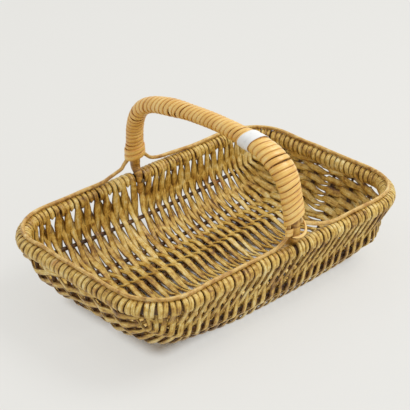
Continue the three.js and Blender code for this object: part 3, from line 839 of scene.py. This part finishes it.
strips = {
    "rowsInStrips": [4] * 13 + [6] * 3,
    "offset": 4.1,  # from a rib's middle to a strip's
    "nearOffset": 5.2,
    "archHalf": 3.6,  # a strip keeps to its rib for so far on each side of it
    "archShare": 0.8,
    "overShare": 1.28,  # width over a rib, as a share of the rows' pitch there
    "betweenShare": 1.18,
    "nearShare": 0.86,
    "nearBetweenShare": 0.7,
    "nearParting": 3.0,  # how far the upper rows stay up between the outer rib and the wall's
    "wallShare": 1.06,
    "tonguePlace": 0.4,  # where a strip is widest between the far rim and the wall's rib
    "tongueShare": 1.6,
    "endShare": 0.3,  # how much wider the strips are in the end walls
    "endLength": 30,
    "middleRise": 2.2,  # how much higher a strip stays beside the rib that it has crossed
    "middleShares": (0.84, 0.56),
    "floorGap": 0.7,  # least height of a strip's middle over the ground, in thicknesses
    "widest": 9.4,
    "narrowest": 3.6,
    "widthSpread": 0.04,
    "thickness": 2.3,
    "jitter": (0.35, 0.25),  # along the basket, and square to the weave
    "firstTurn": (-60, 180),  # the turns round the hoop, in degrees: how a strip starts
    "lastTurn": (-90, 210),
    "turnStart": {1: -450, -1: -390},  # between two rows, at the far rim and at the near one
    "turnStep": 30,
    "rimThickness": 3.2,
    "rimShare": 0.96,
    "rimNarrowest": 4.2,
    "rimWidest": 8.2,
    "rimWidthSpread": 0.02,
    "rimReach": 8.0,  # from the hoop's centre line to a band's middle
    "rimReachSpread": 0.12,
    "rimNudge": 0.3,
    "widestPitch": 10.5,
    "tipShare": 0.3,
    "spacing": 3.4,
    "sweep": (10, 0.7, 0.5, 0.016, 0.0012),
    "seed": 11,
}


def rowStation(line, row, side):
    lean = line["nearLean"] if side < 0 else 0
    return stations[row] - lean * (1 - (stations[row] / stations[-1]) ** 2)


def localPitch(line, row, side):
    low, high = rowsBeside(row)
    start, stop = (railPoint(line, rowStation(line, k, side), side) for k in (low, high))
    return float(np.linalg.norm(stop - start)) / (high - low)


# A strip's width at a rail, as a share of the rows' pitch there.
def bandShare(line, side, over, place):
    share = strips["overShare" if line["rib"] else "betweenShare"]
    if side > 0 and line["rib"] == "wall":
        share = strips["wallShare"]
    if side < 0:
        share *= strips["nearShare" if line["rib"] else "nearBetweenShare"]
    beyond = (abs(place) - basket["flatHalf"]) / strips["endLength"]
    share *= 1 + strips["endShare"] * smooth(beyond)
    if line is halfRails[0]:
        share *= strips["middleShares"][0 if over * side < 0 else 1]
    return share


# The places before, on and after a rib: how far along the row, and how high over the rib's line.
def archSteps(line, side, over, place):
    slant = max(0, abs(place) - basket["flatHalf"]) if line["rib"] == "wall" else 0
    nearRib = side < 0 and line["rib"] in ("outer", "middle")
    lifted = over > 0 and (nearRib or line["rib"] == "inner")
    offset = over * strips["nearOffset" if lifted else "offset"]
    offset *= 1 + slant / basket["wallSlantLength"]
    beside, half = offset * strips["archShare"], strips["archHalf"]
    return [(-half, beside), (0, offset), (half, beside)]


def rowControls(row, chance):
    lines = [(line, 1) for line in reversed(halfRails)] + [(line, -1) for line in halfRails]
    places = [rowStation(line, row, side) for line, side in lines]
    points = [railPoint(line, place, side) for (line, side), place in zip(lines, places)]
    over = -1 if row % 2 == 0 else 1
    controls = []
    for i, (line, side) in enumerate(lines):
        before, after = (railPoint(line, places[i] + step, side) for step in (-1, 1))
        across = unit(after - before)
        run = unit(points[min(len(points) - 1, i + 1)] - points[max(0, i - 1)])
        normal = unit(np.cross(across, run))
        if normal[2] < 0:
            normal = -normal
        point = points[i].copy()
        point[0] += basket["footFades"].get((side, line["fade"]), 0) * footShift(row, side)
        aside, raised = (chance.normal(0, spread) for spread in strips["jitter"])
        point += across * aside + normal * raised
        if side < 0 and line["fade"] == "bulge" and over < 0:
            point += normal * strips["nearParting"]
        if line is halfRails[0] and over * side < 0:
            point += normal * strips["middleRise"]
        width = bandShare(line, side, over, places[i]) * localPitch(line, row, side)
        width = min(strips["widest"], max(strips["narrowest"], width))
        width *= 1 + chance.normal(0, strips["widthSpread"])
        steps = [(0, 0)]
        if line["rib"]:
            steps = archSteps(line, side, over, places[i])
            over = -over
        lowest = strips["floorGap"] * strips["thickness"] + width / 2 * abs(across[2])
        for along, rise in steps:
            place = point + run * along + normal * rise
            place[2] = max(place[2], lowest)
            controls.append(control(place, normal, width, strips["thickness"]))
    return controls


# How far the turns outside the near foot close up again.
def closing(place, side, turn):
    fromFoot = place - basket["footX"][-1]
    share = 1 - abs(fromFoot) / basket["closingLength"]
    if side > 0 or share <= 0:
        return 0
    return math.copysign(basket["footClosing"], -fromFoot) * share * max(0, math.cos(turn))


# Turns round the hoop between two angles, in degrees: 0 is outside, 90 the top, 180 inside.
def rimControls(place, pitch, side, start, stop, chance, turns=1):
    controls = []
    nudge = chance.normal(0, strips["rimNudge"])
    for angle in range(start, stop + 1, strips["turnStep"]):
        turn = math.radians(angle)
        here = place + min(0, max(-turns, (angle - 90) / 360)) * pitch + nudge
        centre, outward = rimAt(here + closing(place, side, turn), side)
        radial = outward * math.cos(turn) + np.array([0, 0, math.sin(turn)])
        width = max(strips["rimNarrowest"], strips["rimShare"] * pitch)
        width = min(strips["rimWidest"], width) * (1 + chance.normal(0, strips["rimWidthSpread"]))
        reach = strips["rimReach"] + chance.normal(0, strips["rimReachSpread"])
        controls.append(control(centre + radial * reach, radial, width, strips["rimThickness"]))
    return controls


def rimPitch(row, side):
    low, high = rowsBeside(row)
    return min(strips["widestPitch"], (rimPlace(high, side) - rimPlace(low, side)) / (high - low))


def tongue(rimEnd, wallEnd):
    point = mix(rimEnd["point"], wallEnd["point"], strips["tonguePlace"])
    return {**wallEnd, "point": point, "width": wallEnd["width"] * strips["tongueShare"]}


# A strip goes to and fro through its rows, and round the hoop between them.
def weaverPath(first, last, chance):
    controls = []
    for row in range(first, last + 1):
        farRim = rimPlace(row, 1), rimPitch(row, 1), 1
        fromFar = row % 2 == 0
        if row == first:
            controls += rimControls(*farRim, *strips["firstTurn"], chance)
        woven = rowControls(row, chance)
        if fromFar:
            controls += [tongue(controls[-1], woven[0])] + woven
        else:
            controls += woven[::-1]
        if row < last:
            side = -1 if fromFar else 1
            nextPlace = rimPlace(row + 1, side)
            gap = nextPlace - rimPlace(row, side)
            turns = 2 if row == firstRightRow + 2 else 1
            start = strips["turnStart"][side] - 360 * (turns - 1)
            turned = rimControls(nextPlace, gap, side, start, 180, chance, turns)
        else:
            turned = rimControls(*farRim, *strips["lastTurn"], chance)
        if not fromFar:
            controls.append(tongue(turned[0], controls[-1]))
        controls += turned
    for tip in (controls[0], controls[-1]):
        tip["width"] *= strips["tipShare"]
        tip["thickness"] *= strips["tipShare"]
    return threaded(controls, strips["spacing"])


chance = np.random.default_rng(strips["seed"])
row = 0
for number, rows in enumerate(strips["rowsInStrips"], 1):
    path = toned(weaverPath(row, row + rows - 1, chance), chance.uniform())
    row += rows
    names = f"wovenStrip{number:02d}", f"weaver_{number:02d}"
    dress(names[0], path, strips["sweep"], number, willow, "willow", names[1])
print("strips woven")


ribs = {
    "radius": 2.7,
    "wallEndDepth": 24,
    "endDepth": 11.2,
    "places": 33,
    "spacing": 7,
    "sweep": (10, 1.0, 0.25, 0.03, 0.0005),
    "seed": 5,
}


def ribEnd(line):
    depth = ribs["wallEndDepth"] if line["rib"] == "wall" else ribs["endDepth"]
    turn = math.acos(depth / ((1 - basket["leftRocker"][1]) * line["depth"]))
    return basket["flatHalf"] + basket["bendLength"] / line["share"] * turn


def ribPath(line, side, chance):
    end = ribEnd(line)
    points = [railPoint(line, place, side) for place in np.linspace(-end, end, ribs["places"])]
    controls = [roundControl(point, ribs["radius"], (0, 1.0, 0)) for point in points]
    for tip in (controls[0], controls[-1]):
        tip["width"] = tip["thickness"] = ribs["radius"]
    return toned(threaded(controls, ribs["spacing"]), chance.uniform())


chance = np.random.default_rng(ribs["seed"])
for line in [line for line in halfRails if line["rib"]]:
    for side, word in ((1, "far"), (-1, "near")):
        path = ribPath(line, side, chance)
        names = f"{line['rib']}Rib{word.capitalize()}", f"{line['rib']}_rib_{word}"
        dress(names[0], path, ribs["sweep"], ribEnd(line), ribMaterial, "rib", names[1])

hoop = {"radius": 6, "steps": 160, "tone": 0.4, "sweep": (14, 1.0, 0.06, 0.03, 0.0), "seed": 3}


def hoopPath():
    points = []
    quarter = hoop["steps"] // 4
    for side, end in ((1, 1), (-1, 1), (-1, -1), (1, -1)):
        for k in range(quarter):
            share = 1 - k / quarter if side * end < 0 else k / quarter
            points.append(rimAt(end * halfRim * share, side)[0])
    values = {"facing": np.tile((0, 0, 1.0), (len(points), 1))}
    for key in ("bandWidth", "bandThickness"):
        values[key] = np.full(len(points), 2 * hoop["radius"] * mm)
    return toned({"points": np.array(points), "values": values, "closed": True}, hoop["tone"])


dress("rimHoop", hoopPath(), hoop["sweep"], hoop["seed"], ribMaterial, "hoop", "rim_hoop")
print("ribs and hoop made")


# Places along a winding, one for each step. Each turn has its own pitch.
def windingPlaces(start, pitches):
    edges = np.concatenate([[0], np.cumsum(pitches)]) + start
    turns = np.arange(len(pitches) * stepsPerTurn + 1) / stepsPerTurn
    return np.interp(turns, np.arange(len(edges)), edges)


def frameAt(centre, wide, deep, wideReach, deepReach):
    axes = {"centre": centre, "wide": wide, "deep": deep}
    return {**axes, "wideReach": wideReach, "deepReach": deepReach}


def windingPath(frames, widths, thickness, tone):
    steps = np.arange(len(frames))
    taper = np.minimum(1, np.minimum(steps, steps[::-1]) * 0.3 + 0.4)
    values = {f"{key}Axis": np.array([f[key] for f in frames]) for key in ("wide", "deep")}
    for key in ("wideReach", "deepReach"):
        values[key] = np.array([f[key] for f in frames]) * mm
    values["bandWidth"] = widths * taper * mm
    values["bandThickness"] = thickness * taper * mm
    return toned({"points": np.array([f["centre"] for f in frames]), "values": values}, tone)


bindings = {
    "loops": 24,
    "pitchSpread": 0.04,
    "widthShare": 0.94,
    "thickness": 3.3,
    "reach": 7.9,
    "margins": (3.7, -0.4),
    "startTurn": 0.75,
    "tone": 0.6,
    "sweep": (10, 0.8, 0.3, 0.012, 0.0015),
    "seed": 21,
    "lumpSeed": 30,
}
chance = np.random.default_rng(bindings["seed"])
for end, word, row in ((-1, "left", 0), (1, "right", rowCount - 1)):
    start = abs(rimPlace(row, 1)) + bindings["margins"][0]
    stop = 2 * halfRim - abs(rimPlace(row, -1)) - bindings["margins"][1]
    pitches = 1 + chance.normal(0, bindings["pitchSpread"], bindings["loops"])
    pitches *= (stop - start) / pitches.sum()
    reach = bindings["reach"]
    rims = [rimAt(end * place, 1) for place in windingPlaces(start, pitches)]
    frames = [frameAt(centre, outward, (0, 0, 1.0), reach, reach) for centre, outward in rims]
    width = bindings["widthShare"] * pitches.mean()
    path = windingPath(frames, width, bindings["thickness"], bindings["tone"])
    given = bindings["sweep"], bindings["lumpSeed"] + end, willowPale, "willow_pale"
    names = f"{word}EndBinding", f"{word}_end_binding"
    dress(names[0], path, *given, names[1], startTurn=bindings["startTurn"])
print("ends bound")


bow = {
    "rise": 119.3,
    "windingStart": 23.8,
    "nearWindingRise": 8,
    "gripReach": (9.5, 8.9),
    "farBundle": 14,
    "nearBundle": 98,
    "bundleTaper": 14,
    "rodInset": 4.4,
    "rodGap": 0.4,
    "coreShare": 0.92,
    "coreInset": 1.9,
    "coreSteps": 90,
    "farFootAside": 2.6,
    "tongueInset": 9.2,  # from the hoop's centre line to the middle of the shaved end
    # a foot from its lower end: place between the shaved end and the leg, height, half of the
    # width and half of the thickness
    "foot": [
        (0, -18, 2.73, 1.4), (0, -13.5, 4.2, 2.8), (0, 2, 4.2, 2.8),
        (0.2, 7.2, 4.62, 4.4), (0.6, 10.5, 5.25, 5.4), (1, 16, 5.82, 6),
    ],
    # the centre line from the far leg to the near one, in shares of its half span and of its rise
    "line": [
        (1, 0), (0.989, 0.294), (0.97, 0.514), (0.923, 0.682), (0.843, 0.808),
        (0.714, 0.897), (0.547, 0.948), (0.342, 0.984), (0.114, 1), (-0.114, 1),
        (-0.319, 0.979), (-0.509, 0.947), (-0.653, 0.908), (-0.783, 0.829), (-0.874, 0.724),
        (-0.931, 0.593), (-0.962, 0.441), (-0.988, 0.283), (-1, 0.147), (-1, 0),
    ],
    "lineSpacing": 0.5,
    # the winding's reach across and outwards against the grip's, at shares of the line
    "reaches": [
        (0.041, 1.379, 1.022), (0.069, 1.147, 0.978), (0.167, 1.105, 1), (0.256, 1.042, 1.022),
        (0.346, 1.126, 1.135), (0.441, 1, 1), (0.564, 1, 1), (0.61, 1.063, 1.045),
        (0.672, 1.274, 1.135), (0.769, 1.589, 1.169), (0.808, 1.653, 1.135),
        (0.885, 1.442, 1.022), (0.98, 1.411, 0.978),
    ],
    "spacing": 2.6,
    "tone": 0.5,
    "sweep": (16, 0.95, 0.08, 0.008, 0.0),
    "seed": 8,
}
footGap = basket["footX"][-1] - basket["footX"][1]
skew = math.atan2(footGap, 2 * basket["halfWidth"])
bowMiddle = np.array([(basket["footX"][1] + basket["footX"][-1]) / 2, 0, basket["hoopZ"]])
bowAcross = np.array([math.cos(skew), math.sin(skew), 0])
bowSpread = np.array([-math.sin(skew), math.cos(skew), 0])
bowHalf = math.hypot(2 * basket["halfWidth"], footGap) / 2


def bowPlace(x, y, z):
    return bowMiddle + (0, 0, z) + bowAcross * x + bowSpread * y


def bowLine():
    controls = []
    for across, rise in bow["line"]:
        z = mix(bow["windingStart"], bow["rise"], rise)
        controls.append(roundControl(bowPlace(0, across * bowHalf, z), 1))
    return threaded(controls, bow["lineSpacing"])


bowPoints = bowLine()["points"]
bowSteps = np.linalg.norm(np.diff(bowPoints, axis=0), axis=1)
bowLengths = np.concatenate([[0], np.cumsum(bowSteps)])
bowRun = float(bowLengths[-1])


def onBow(run):
    return np.array([np.interp(run, bowLengths, bowPoints[:, axis]) for axis in range(3)])


def reachAt(run):
    shares = [share * bowRun for share, _, _ in bow["reaches"]]
    k = int(np.clip(np.searchsorted(shares, run) - 1, 0, len(shares) - 2))
    t = smooth((run - shares[k]) / (shares[k + 1] - shares[k]))
    before, after = bow["reaches"][k : k + 2]
    return [mix(before[axis], after[axis], t) * bow["gripReach"][axis - 1] for axis in (1, 2)]


def bowAt(run):
    here = min(bowRun - 1, max(1, run))
    along = unit(onBow(here + 1) - onBow(here - 1))
    centre = onBow(min(bowRun, max(0, run)))
    given = frameAt(centre, bowAcross, unit(np.cross(along, bowAcross)), *reachAt(run))
    return {**given, "along": along}


rods = {
    "radius": 2.3,
    "radiusSpread": 0.03,
    "enters": 4,
    "legSteps": 12,
    "rimStart": 100,
    "rimSteps": 12,
    "loose": 0.35,
    "spacing": 4,
    "tones": {-1: 0.35, 1: 0.6},
    "sweep": (12, 1.0, 0.22, 0.03, 0.0006),
    "seed": 77,
    "lumpSeed": 60,
    # from the handle's foot to the rim: along the basket, and above the rods' place on the rim
    "routes": {
        (-1, 1): [
            (10, 21), (12.6, 16.4), (16.6, 12.4), (22, 8.8), (29, 5.8), (38, 3.4), (50, 1.5),
            (66, 0.3), (80, 0),
        ],
        (1, 1): [
            (10, 20), (14.5, 16.6), (19.2, 11.8), (24.6, 7.4), (31.7, 4.9), (40, 3.7), (53, 2.6),
            (73, 1.2), (90, 0),
        ],
        (-1, -1): [(9.3, 18), (10.2, 12), (12.5, 8), (17.5, 4.6), (25, 2), (34, 0.5), (44, 0)],
        (1, -1): [(10.4, 20.5), (14, 17.6), (22, 13.8), (34, 8.4), (46, 3.6), (57, 1), (68, 0)],
    },
}


def footControls(side):
    controls = []
    top = bow["foot"][-1][1]
    for share, z, halfWidth, halfThickness in bow["foot"]:
        aside = -bow["farFootAside"] * smooth((top - z) / top) if side > 0 else 0
        y = mix(bowHalf - bow["tongueInset"], bowHalf, share)
        point = bowPlace(aside, side * y, z)
        controls.append(control(point, side * bowSpread, 2 * halfWidth, 2 * halfThickness))
    return controls


# The bow under the cane, narrower where the rods lie beside it.
def coreControls():
    controls = []
    nearTop = bowRun - bow["nearBundle"]
    for run in np.linspace(0, bowRun - bow["nearWindingRise"], bow["coreSteps"]):
        here = bowAt(run)
        reaches = (here["wideReach"], here["deepReach"])
        wide, deep = (bow["coreShare"] * reach - bow["coreInset"] for reach in reaches)
        besideRods = here["wideReach"] - bow["rodInset"] - rods["radius"] - bow["rodGap"]
        free = smooth((run - bow["farBundle"]) / bow["bundleTaper"])
        free *= smooth((nearTop - run) / bow["bundleTaper"])
        width = 2 * mix(besideRods, wide, free)
        controls.append(control(here["centre"], here["deep"], width, 2 * deep))
    return controls


bowControls = footControls(1) + coreControls() + footControls(-1)[::-1]
bowPath = toned(threaded(bowControls, bow["spacing"]), bow["tone"])
dress("handleBow", bowPath, bow["sweep"], bow["seed"], coreMaterial, "hoop", "handle_bow")

# Turns of cane from the far leg to the near one. A turn leans: its outer side lies further along
# the bow than its inner side.
cane = {
    "thickness": 2.0,
    "widthShare": 1.02,
    "widthSpread": 0.03,
    "widest": 8.4,
    "pitchSpread": 0.22,
    "slit": 1.3,
    "slitNarrowing": 1.1,
    "start": 4.5,
    "nodePitch": 7.75,
    "wobble": (0.12, 0.9),
    "outerSide": 47,  # degrees from the winding's wide axis
    "leans": [
        (0, 1), (40, 4), (70, 8), (100, 13), (170, 14), (220, 12), (275, 11), (290, 8), (315, 4),
        (335, -3), (350, -7), (390, -8),
    ],
    "sweep": (12, 0.5, 0.12, 0.014, 0.0006),
    "seed": 42,
    "lumpSeed": 50,
    # name, node, the node's turns, pitches, swell, turns after which a slit is left open, tone
    "pieces": [
        ("farCollarCane", "far_collar_cane", 2, [7.6, 7.8], 0.6, [], 0.55),
        (
            "farLegCane", "far_leg_cane", 16, [5.4] * 9 + [8.2] * 5 + [7.0] * 5, 0.0,
            [9, 15, 17], 0.1,
        ),
        ("gripCane", "grip_cane", 16, [6.6] * 19, 0.0, [2, 15], 0.5),
        ("nearLegCane", "near_leg_cane", 14, [7.4] * 3 + [6.7] * 13, 0.0, [5], 0.6),
    ],
}


# How far a band's next turn is from it, square to the band.
def turnSpacing(frames):
    middles = []
    for k, f in enumerate(frames):
        angle = 2 * math.pi * k / stepsPerTurn
        wide, deep = f["wideReach"] * math.cos(angle), f["deepReach"] * math.sin(angle)
        middles.append(f["centre"] + f["wide"] * wide + f["deep"] * deep)
    tangents = np.gradient(np.array(middles), axis=0)
    tangents /= np.linalg.norm(tangents, axis=1)[:, None]
    spacing = []
    for k, tangent in enumerate(tangents):
        others = [j for j in (k - stepsPerTurn, k + stepsPerTurn) if 0 <= j < len(frames)]
        spans = (np.cross(middles[j] - middles[k], tangent) for j in others)
        spacing.append(min(np.linalg.norm(span) for span in spans))
    return np.array(spacing)


def canePath(start, nodeTurns, pitches, swell, slits, tone, chance):
    pitches = np.array(pitches) + chance.normal(0, cane["pitchSpread"], len(pitches))
    for slit in slits:
        pitches[slit] += cane["slit"]
    pitches *= nodeTurns * cane["nodePitch"] / pitches.sum()
    places = windingPlaces(start, pitches)
    turns = np.arange(len(places)) / stepsPerTurn
    leans = np.interp(places, *zip(*cane["leans"]))
    outer = np.cos(2 * math.pi * turns - math.radians(cane["outerSide"]))
    leaning = places + leans / 2 * outer
    leaning = np.clip(leaning, min(places[0], leaning[0]), bowRun)
    frames = [bowAt(place) for place in leaning]
    closeness = chance.normal(cane["widthShare"], cane["widthSpread"], len(pitches) + 1)
    closeness = np.interp(turns, np.arange(len(closeness)), closeness)
    widths = np.minimum(cane["widest"], closeness * turnSpacing(frames))
    for slit in slits:
        widths[np.abs(turns - slit) < 0.5] -= cane["slitNarrowing"]
    amount, pace = cane["wobble"]
    for k, f in enumerate(frames):
        f["wideReach"] += swell + amount * math.sin(k * pace)
        f["deepReach"] += swell
    return windingPath(frames, widths, cane["thickness"], tone)


chance = np.random.default_rng(cane["seed"])
start = cane["start"]
for number, (name, node, nodeTurns, *wound) in enumerate(cane["pieces"]):
    path = canePath(start, nodeTurns, *wound, chance)
    start += nodeTurns * cane["nodePitch"]
    given = cane["sweep"], cane["lumpSeed"] + number, caneMaterial, "cane"
    dress(name, path, *given, node, startTurn=0.0)
print("handle wound")


def rodLeg(end, side):
    runs = [bow["farBundle"] + 2]
    if side < 0:
        last = bowRun - bow["nearWindingRise"] - rods["enters"]
        runs = np.linspace(bowRun - bow["nearBundle"], last, rods["legSteps"])
    points = []
    for here in (bowAt(run) for run in runs):
        points.append(here["centre"] + here["wide"] * end * (here["wideReach"] - bow["rodInset"]))
    for x, rise in rods["routes"][end, side]:
        x = basket["footX"][side] + end * x
        points.append(np.array([x, side * basket["halfWidth"], rodZ + rise]))
    return points


def rodPath(end, chance):
    places = end * np.linspace(rods["rimStart"], halfRim, rods["rimSteps"])
    far = [rimAt(place, 1)[0] + (0, 0, rodZ - basket["hoopZ"]) for place in places]
    near = [point * (1, -1, 1) for point in far[-2::-1]]
    points = rodLeg(end, 1) + far + near + rodLeg(end, -1)[::-1]
    controls = []
    for k, point in enumerate(points):
        if 3 <= k <= len(points) - 4:
            point = point + chance.normal(0, rods["loose"], 3) * (1, 1, 0.5)
        radius = rods["radius"] * (1 + chance.normal(0, rods["radiusSpread"]))
        controls.append(roundControl(point, radius, (0, 0.1, 1.0)))
    return toned(threaded(controls, rods["spacing"]), rods["tones"][end])


chance = np.random.default_rng(rods["seed"])
for end, word in ((-1, "left"), (1, "right")):
    given = rods["sweep"], rods["lumpSeed"] + end, rodMaterial, "rod", f"{word}_trim_rod"
    dress(f"{word}TrimRod", rodPath(end, chance), *given)

tie = {
    "turns": 2,
    "pitch": 4.4,
    "start": 0.2,
    "startTurn": 0.25,
    "width": 5.0,
    "thickness": 1.1,
    "reach": (3.3, 5.0),
    "aside": 1.9,
    "tone": 0.9,
    "sweep": (10, 0.6, 0.3, 0.006, 0.0),
    "seed": 71,
}


def tiePath():
    outward = (0, 1.0, 0)
    top, low = rodLeg(-1, -1)[-len(rods["routes"][-1, -1]) :][:2]
    along = unit(low - top)
    deep = np.cross(along, outward)
    start = top + deep * tie["aside"]
    places = windingPlaces(tie["start"], [tie["pitch"]] * tie["turns"])
    frames = [frameAt(start + along * place, outward, deep, *tie["reach"]) for place in places]
    return windingPath(frames, tie["width"], tie["thickness"], tie["tone"])


given = tie["sweep"], tie["seed"], caneMaterial, "cane", "near_rod_tie"
dress("nearRodTie", tiePath(), *given, startTurn=tie["startTurn"])

# The cane's loose end, round the front of the near leg.
tail = {
    "thickness": 1.6,
    "turned": (-0.45, -0.5, 0.36),  # how far its face is turned from straight out
    # a point on it, and its width there
    "points": [
        (19, -128, 125.5, 3.0),
        (21.6, -131, 121, 4.6),
        (22, -135, 115, 5.2),
        (18.5, -139, 110.4, 5.0),
        (12, -141, 108, 4.2),
        (4.5, -140.6, 108.2, 3.0),
        (-1.5, -138.6, 109.6, 1.0),
    ],
    "spacing": 1.5,
    "tone": 0.95,
    "sweep": (10, 0.6, 0.1, 0.02, 0.0),
    "seed": 72,
}


def tailPath():
    nearLeg = np.array([basket["footX"][-1], -basket["halfWidth"], 0])
    controls = []
    for x, y, z, width in tail["points"]:
        facing = unit(unit(np.array([x, y, 0]) - nearLeg) + tail["turned"])
        controls.append(control(np.array([x, y, z]), facing, width, tail["thickness"]))
    return toned(threaded(controls, tail["spacing"]), tail["tone"])


dress("caneTail", tailPath(), tail["sweep"], tail["seed"], caneMaterial, "cane")
print("rods, tie and tail made")


label = {
    "fromNear": 124,
    "width": 16,
    "lean": 3.6,
    "inside": 1.35,
    "thickness": 0.4,
    "ripple": 0.2,
    "pitch": 6.6,
    "skew": 0.35,
    "around": 72,
    "along": 21,
    "seed": 9,
}


# One corner of the label's mesh: a layer, outer or inner, and its place along and round the grip.
def labelPoint(look, waves, layer, i, k):
    offset = look["width"] * (i / look["along"] - 0.5)
    angle = 2 * math.pi * k / look["around"]
    lean = look["lean"] * math.cos(angle - math.radians(cane["outerSide"]))
    here = bowAt(bowRun - look["fromNear"] + offset + lean)
    ripple = math.sin(2 * math.pi * offset / look["pitch"] + angle + waves[0])
    ripple += 0.6 * math.sin(3 * angle + waves[1] + offset * 0.4)
    ripple += 0.4 * math.sin(7 * angle + waves[2])
    beyond = look["inside"] + look["thickness"] * (1 - layer) + look["ripple"] * ripple
    edge = abs(2 * i / look["along"] - 1)
    point = here["centre"] + here["along"] * look["skew"] * math.sin(2 * angle + waves[3]) * edge
    point = point + here["wide"] * math.cos(angle) * (here["wideReach"] + beyond)
    return point + here["deep"] * math.sin(angle) * (here["deepReach"] + beyond)


def makeLabel(look, material):
    waves = np.random.default_rng(look["seed"]).uniform(0, 2 * math.pi, 4)
    ring, rings = look["around"], look["along"] + 1
    points = [
        tuple(labelPoint(look, waves, layer, i, k) * mm)
        for layer in (0, 1)
        for i in range(rings)
        for k in range(ring)
    ]
    faces = []
    for k in range(ring):
        beside = (k + 1) % ring

        # a four-sided face between two of the rings
        def band(first, second):
            a, b = first * ring, second * ring
            faces.append((a + k, a + beside, b + beside, b + k))

        for i in range(rings - 1):
            band(i, i + 1)
            band(rings + i + 1, rings + i)
        band(rings, 0)
        band(rings - 1, 2 * rings - 1)
    mesh = bpy.data.meshes.new("blankLabel")
    mesh.from_pydata(points, [], faces)
    turnOutwards(mesh)
    mesh.shade_smooth()
    mesh.materials.append(material)
    return addObject("blankLabel", mesh)


settle(makeLabel(label, paper), "label", "blank_label")

for name in ("far_nail", "near_nail"):
    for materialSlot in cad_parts[name].material_slots:
        materialSlot.material = steel
print("label and nails finished")


studio = {
    "floor": (233, 232, 228),
    "backdrop": (233, 233, 231),
    "floorSize": 9,
    "floorRoughness": 0.9,
    "cloudDrop": 4,
    "cloudShare": 0.2,
    "evenShare": 0.72,  # how much of the seen floor is plain and unshaded, away from the basket
    "shadedHalf": (142, 70),  # the patch of floor under the basket that is fully shaded
    "shadedFade": 28,
    "world": 0.74,
    "keyPower": 19,
    "keyPlace": (0.95, -0.7, 1.8),
    "keyTarget": (0, 0, 0.08),
    "keySize": 1.1,
}


def seenRays(maker):
    rays = maker.add("ShaderNodeLightPath")
    return rays["Is Camera Ray"].most(rays["Is Glossy Ray"]).most(rays["Is Transmission Ray"])


def makeFloor(look):
    material, maker = newMaterial("floorPaint")
    place = maker.place()
    clouds = maker.noise(place, 1.2, 1.0, 0.5) * look["cloudShare"]
    darker = paint(*(value - look["cloudDrop"] for value in look["floor"]))
    colour = maker.blend("MIX", clouds, paint(*look["floor"]), darker)
    sockets = {"Base Color": colour, "Roughness": look["floorRoughness"], "Specular IOR Level": 0.1}
    lit = maker.add("ShaderNodeBsdfPrincipled", None, sockets)
    even = maker.add("ShaderNodeEmission", None, {"Color": colour, "Strength": 1.0})
    split = maker.apart(place)
    halves = zip(("X", "Y"), look["shadedHalf"])
    beyondX, beyondY = ((split[axis].size() - half * mm).most(0) for axis, half in halves)
    away = ((beyondX ** 2 + beyondY ** 2) ** 0.5).between(0, look["shadedFade"] * mm)
    share = seenRays(maker) * away * look["evenShare"]
    sockets = {0: share, 1: lit["BSDF"], 2: even["Emission"]}
    mixed = maker.add("ShaderNodeMixShader", None, sockets)["Shader"]
    maker.add("ShaderNodeOutputMaterial", None, {"Surface": mixed})
    half = look["floorSize"] / 2
    corners = [(x * half, y * half, 0) for x, y in ((-1, -1), (1, -1), (1, 1), (-1, 1))]
    mesh = bpy.data.meshes.new("studioFloor")
    mesh.from_pydata(corners, [], [(0, 1, 2, 3)])
    mesh.materials.append(material)
    addObject("studioFloor", mesh)


def makeWorld(look):
    world = bpy.data.worlds.new("studio")
    world.use_nodes = True
    world.node_tree.nodes.clear()
    maker = Maker(world.node_tree)
    plain, shown = (
        maker.add("ShaderNodeBackground", None, {"Color": paint(*colour), "Strength": strength})
        for colour, strength in (((255, 255, 255), look["world"]), (look["backdrop"], 1.0))
    )
    sockets = {0: seenRays(maker), 1: plain["Background"], 2: shown["Background"]}
    mixed = maker.add("ShaderNodeMixShader", None, sockets)["Shader"]
    maker.add("ShaderNodeOutputWorld", None, {"Surface": mixed})
    bpy.context.scene.world = world


def makeKey(look):
    data = bpy.data.lights.new("keyLight", "AREA")
    data.shape = "DISK"
    data.size = look["keySize"]
    data.energy = look["keyPower"]
    light = addObject("keyLight", data)
    light.location = look["keyPlace"]
    light.rotation_mode = "QUATERNION"
    facing = Vector(look["keyTarget"]) - light.location
    light.rotation_quaternion = facing.to_track_quat("-Z", "Y")


makeFloor(studio)
makeWorld(studio)
makeKey(studio)
scene = bpy.context.scene
scene.view_settings.view_transform = "Standard"
print("floor and light made")
